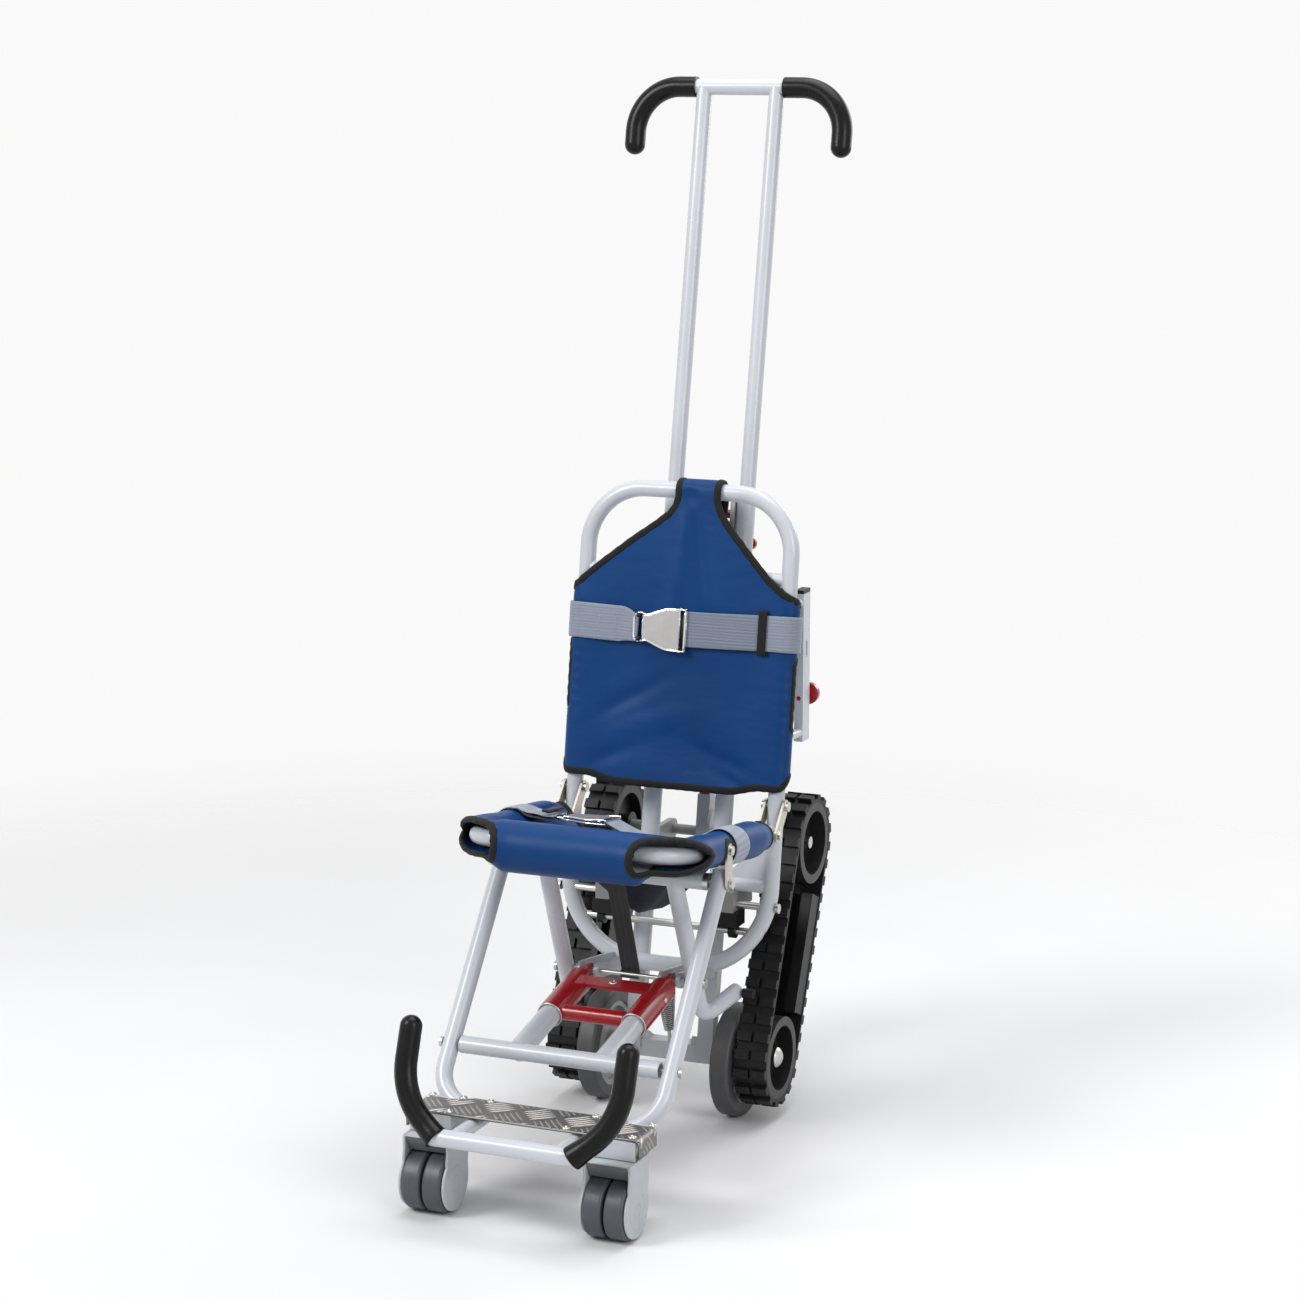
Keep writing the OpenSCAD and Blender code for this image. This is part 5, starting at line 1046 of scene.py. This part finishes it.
def tread():
    """Groups of five raised bars that cross at right angles, cut off at the sheet's edges; their lighter
    metal is a painted highlight.
    """
    cell, length, wide, high, bars, pitch = 40.0, 35.0, 3.7, 1.15, 5, 6.9
    seg, ring = 14, 7
    turn = radians(40)
    e1 = (cos(turn), sin(turn))
    e2 = (sin(turn), -cos(turn))
    verts, faces = [], []

    def raise_bar(run, w):
        base = len(verts)
        for pu, pv, hw in run:
            hw = max(hw, 0.15)
            for q in range(ring):
                g = 2 * q / (ring - 1) - 1
                h = high * (1 - g * g) * min(1, hw / (wide * 0.35)) - 0.08
                u = max(-PLATE_FULL, min(PLATE_FULL, pu + w[0] * g * hw))
                v = max(PLATE_FRONT, min(PLATE_REAR, pv + w[1] * g * hw))
                verts.append(plate_point(u, v, h))
        for a in range(len(run) - 1):
            for q in range(ring - 1):
                k = base + a * ring + q
                faces.append((k, k + ring, k + ring + 1, k + 1))

    for i, j, b in itertools.product(range(-8, 9), range(-8, 9), range(bars)):
        d, w = (e1, e2) if (i + j) % 2 == 0 else (e2, e1)
        off = (b - (bars - 1) / 2) * pitch
        bu = (e1[0] * i + e2[0] * j) * cell + 6 + w[0] * off
        bv = (e1[1] * i + e2[1] * j) * cell + (PLATE_FRONT + PLATE_REAR) / 2 + 9 + w[1] * off
        if abs(bu) > PLATE_FULL + length or not PLATE_FRONT - length < bv < PLATE_REAR + length:
            continue
        run = []
        for s in range(seg + 2):
            f = 2 * s / seg - 1
            pu, pv = bu + d[0] * f * length / 2, bv + d[1] * f * length / 2
            if s <= seg and abs(pu) < PLATE_FULL - 1 and PLATE_FRONT + 1 < pv < plate_rear(pu) - 1:
                run.append((pu, pv, wide / 2 * (1 - abs(f) ** 2.6) ** 0.75))
                continue
            if len(run) > 2:
                raise_bar(run, w)
            run = []
    new_mesh("footplate_tread", verts, faces, "alu_bar_highlight", "legs", closed=False)


def footplate():
    front, back = [], []
    for i in range(131):
        u = -PLATE_FULL + 2 * PLATE_FULL * i / 130
        vs = [PLATE_FRONT + (plate_rear(u) - PLATE_FRONT) * k / 14 for k in range(15)]
        front.append([plate_point(u, v, 0) for v in vs])
        back.append([plate_point(u, v, -2.5) for v in vs])
    ob = sheet_shell("footplate_sheet", front, back, "alu", "legs")
    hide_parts("footplate")
    tread()
    spots = [(-147, -419), (-106, -417), (-69, -416), (72, -416), (106, -417), (147, -419),
             (-142, -468), (-100, -469), (56, -469), (100, -469), (142, -468)]
    head = ((5.2, 0.0), (5.2, 0.9), (4.6, 1.9), (3.2, 2.6), (1.9, 2.9), (1.7, 2.0), (0.0, 1.9))
    verts, faces = [], []
    for x, y in spots:
        faces += ring_faces(len(head), 18, base=len(verts), caps=(False, False))
        verts += [plate_point(x + r * cos(a), y + r * sin(a), h) for r, h in head for a in around(18)]
    new_mesh("footplate_screws", verts, faces, "zinc", "legs")


footplate()


# Rigid pieces shaped closer to the photograph than their solids
def button(name, centre, normal, r, h):
    """A domed screw head with a round socket, on the collar."""
    nm = normal.normalized()
    u = nm.orthogonal().normalized()
    w = nm.cross(u)
    rings = ((1, 0), (1, 0.35), (0.88, 0.72), (0.62, 0.95), (0.42, 1), (0.40, 0.55), (0, 0.55))
    verts = [centre + (u * cos(a) + w * sin(a)) * (r * f / 1000) + nm * (h * g / 1000)
             for f, g in rings for a in around(18)]
    new_mesh(name, verts, ring_faces(len(rings), 18, caps=(True, False)), "zinc", "collar")


def guide_clamps():
    s0, s1, mid = (z / cos(HANDLE) for z in (752, 800, 784))
    cheek = [(-13, s0), (13, s0), (13, mid - 18), (-4.6, mid - 18), (-4.6, mid + 5), (13, mid + 5), (13, s1),
             (-13, s1)]
    for way in (-1, 1):
        ob = plate(f"clamp_cheek_{way + 1}", cheek, lambda y, s, x: on_handle(way * x, y, s), 33.9, 40.0,
                   "cast", "chassis")
        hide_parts("guide_clamps")


def collar_trim():
    bar = [on_brace(-50 + 100 * i / 10, 0, 114) for i in range(11)]
    tube_mesh("collar_front_bar", bar, 0.0104, "red_paint", "collar", sides=28)
    zero = on_brace(0, 0, 0)
    button("collar_screw", on_brace(0, 15, 53), on_brace(0, 1, 0) - zero, 5.2, 2.6)
    for way in (-1, 1):
        # Turned lip in the mouth of each sleeve
        ring = [on_brace(way * 57.5 + 15.9 * cos(a), 15.9 * sin(a), 126.2) for a in around(40)]
        tube_mesh(f"sleeve_lip_{way + 1}", ring, 0.0011, "zinc", "collar", closed=True)
        button(f"sleeve_screw_{way + 1}", on_brace(way * (57.5 + 16.6), 3.4, 60),
               on_brace(way, 0.2, 0) - zero, 3.4, 1.6)


def spring():
    foot, head = Vector((0, -6, 82)), Vector((0, -26.25, 191.4))
    axis = (head - foot).normalized()
    u = Vector((1, 0, 0))
    w = axis.cross(u)
    turns, per = 22, 18
    pts = []
    for i in range(turns * per + 1):
        f, a = i / (turns * per), 2 * pi * i / per
        r = 5.6 + 7.6 * f ** 0.8
        pts.append(mm(*(foot + axis * (24 + 66 * f) + u * (r * cos(a)) + w * (r * sin(a)))))
    ob = tube_mesh("return_spring_wire", pts, 0.00075, "zinc", "chassis", sides=6)
    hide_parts("return_spring")
    # Painted shade inside the coil: a black cone that closes the view between the turns, and the cap
    coil_shade = [mm(*(foot + axis * (24.5 + 65 * i / 12))) for i in range(13)]
    tube_mesh("return_spring_coil_shade", coil_shade, [(4.2 + 7.6 * (i / 12) ** 0.8) / 1000 for i in range(13)],
              "black_plastic", "chassis", sides=24)
    cap = [mm(*(foot + axis * d)) for d in (89.5, 90.5, 97, 102, 106, 109, 110.5)]
    tube_mesh("return_spring_cap", cap, [0.0124, 0.0138, 0.0134, 0.0114, 0.0082, 0.0050, 0.0030],
              "black_plastic", "chassis", sides=28)


def castor(way, side_name):
    body = side_name + "_castor"

    def place(u, v, w):
        return mm(way * 120 + w, -474 + u, v)

    r, top = 37.5, 98.4
    cheek = arc(34.2, range(-230, 33, 7), r)
    cheek += [(34.5, 60), (36, 70), (36, top - 2), (34, top), (-18, top), (-20.6, top - 3), (-20.6, 78),
              (-23, 66)]
    for side in (-1, 1):
        x0, x1 = (27.3, 31.1) if side > 0 else (-31.1, -27.3)
        ob = plate(f"{body}_cheek_{side + 1}", cheek, place, x0, x1, "castor", body, 1.3)
        for k, rr in enumerate((9.0, 22.0)):
            ring = [place(rr * cos(a), r + rr * sin(a), side * 31.0) for a in around(48)]
            tube_mesh(f"{body}_ring_{side + 1}_{k}", ring, 0.0005, "castor", body, closed=True, sides=8)
    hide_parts(body + "_fork")
    hood = [(-18.5, top - 0.4), (-20.4, top - 3), (-9.5, 77.5)] + arc(39.0, range(98, -22, -8), r)
    hood += [(39.5, 24), (41.2, 30), (41.6, 40), (40.5, 55), (36, 72), (36, top - 0.4)]
    plate(body + "_hood", hood, place, -27.3, 27.3, "castor", body, 0.5)
    # Painted shade: a dark plate on the hood's sloping front face above the wheels, where shade falls
    plate(body + "_lid", rect(-26.6, 77.6, 26.6, 96.5),
          lambda x, z, y: place(-10.2 - (z - 77.6) * 0.53 - y, z, x), 0.0, 1.4, "lid", body, 0.5)
    stem = [place(20, z, 0) for z in (97, 104, 112, 118)]
    tube_mesh(body + "_stem", stem, 0.0049, "zinc", body, sides=24)


def front_grip(way):
    """A black grip that runs down, bends in and meets the end of the foot tube."""
    turn, bend, end, x_up, r = radians(41), 92.0, 89.0, 143, 0.0140
    c, s = cos(turn), sin(turn)
    reach = (x_up - bend * (1 - s) - end) / c
    z0 = -1.5 + s * reach
    low, high = z0 + bend * c, 141.5 - 14
    path, radii = [], []

    def add(x, z, radius):
        path.append(on_grip(way * x, 0, z))
        radii.append(radius)

    for i in range(15):
        d = reach * i / 14
        add(end + c * d, -1.5 + s * d, r + 0.0015 * (1 - ease(d / 22)))
    for i in range(1, 13):
        a = turn + (pi / 2 - turn) * i / 12
        add(x_up - bend * (1 - sin(a)), z0 + bend * (c - cos(a)), r)
    for i in range(1, 7):
        add(x_up, low + (high - low) * i / 6, r - 0.0002 * i / 6)
    for i in range(1, 9):
        a = pi / 2 * i / 8
        add(x_up, high + 13.8 * sin(a), max(0.0138 * cos(a), 0.0003))
    ob = tube_mesh(f"front_grip_{way + 1}", path, radii, "grip", "legs", sides=36)
    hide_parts("front_grips")
    tube = [on_grip(way * x, 0, 0) for x in (84, 90, 96)]
    tube_mesh(f"foot_tube_end_{way + 1}", tube, 0.0110, "paint", "legs", sides=32)


def plate_ends():
    for way in (-1, 1):
        plate(f"channel_face_{way + 1}", rect(94, 99, 149.5, 122.6),
              lambda x, z, y: mm(way * x, -476.2 - y, z), 0.0, 1.8, "paint", "legs", 0.6)
        for k, (x, y) in enumerate(((142, -468), (100, -469))):
            tip = [mm(way * x, y, z) for z in (94.5, 96, 98.5)]
            tube_mesh(f"plate_bolt_tip_{way + 1}_{k}", tip, 0.0022, "zinc", "legs")


guide_clamps()
collar_trim()
spring()
castor(-1, "left")
castor(1, "right")
front_grip(-1)
front_grip(1)
plate_ends()


# Room: pale floor that fades into the background, soft studio light
def studio():
    world = bpy.data.worlds.new("studio")
    bpy.context.scene.world = world
    world.use_nodes = True
    w = Nodes(world.node_tree)
    w.t.nodes.clear()
    light = w.node("ShaderNodeBackground", Color=(0.95, 0.97, 1.0), Strength=0.26)
    seen = w.node("ShaderNodeBackground", Color=(0.955, 0.95, 0.95), Strength=1.0)
    rays = w.node("ShaderNodeLightPath").outputs
    direct = w.math("MAXIMUM", rays["Is Camera Ray"], rays["Is Glossy Ray"])
    mix = w.node("ShaderNodeMixShader", Fac=w.math("MAXIMUM", direct, rays["Is Transmission Ray"]))
    w.pair(mix, 1, light.outputs[0], seen.outputs[0])
    w.node("ShaderNodeOutputWorld", Surface=mix.outputs[0])

    n = 48
    verts = [(0, 0, 0)]
    for r in (0.6, 1.2, 2.0, 3.0, 5.0):
        verts += [(r * cos(a), r * sin(a), 0) for a in around(n)]
    faces = [(0, 1 + k, 1 + (k + 1) % n) for k in range(n)]
    faces += [f[::-1] for f in ring_faces(5, n, base=1, caps=(False, False))]
    m = Mat("floor_white")
    tone = m.ramp(m.noise(2), (0.3, (0.80, 0.80, 0.805)), (0.7, (0.83, 0.83, 0.835)))
    m.set(Base_Color=tone, Roughness=0.6)
    floor = plain_mesh("floor", verts, faces, m.m)
    # Far from the chair the floor gives way to the plain background
    near = m.node("ShaderNodeVectorMath", {"operation": "LENGTH"})
    m.feed(near.inputs[0], m.co)
    fade = m.node("ShaderNodeMapRange", {"interpolation_type": "SMOOTHERSTEP"}, Value=near.outputs["Value"],
                  From_Min=0.9, From_Max=2.6)
    mixer = m.node("ShaderNodeMixShader", Fac=fade.outputs["Result"])
    m.pair(mixer, 1, m.b.outputs["BSDF"], m.node("ShaderNodeBsdfTransparent").outputs["BSDF"])
    m.feed(m.t.nodes["Material Output"].inputs["Surface"], mixer.outputs["Shader"])

    target = Vector((0, 0, 0.5))
    for name, loc, size, power in (("key", (-2.2, -2.6, 3.0), 1.5, 100), ("fill", (3.0, -1.8, 2.0), 1.6, 36),
                                   ("top", (0.2, 0.4, 3.6), 2.4, 70), ("rim", (1.2, 2.8, 1.8), 1.6, 26)):
        lamp = bpy.data.lights.new(name, "AREA")
        lamp.energy = power
        lamp.size = size
        ob = add_object(name, lamp)
        ob.location = loc
        ob.rotation_euler = (target - Vector(loc)).to_track_quat("-Z", "Y").to_euler()


studio()
bpy.context.scene.view_settings.view_transform = "Standard"
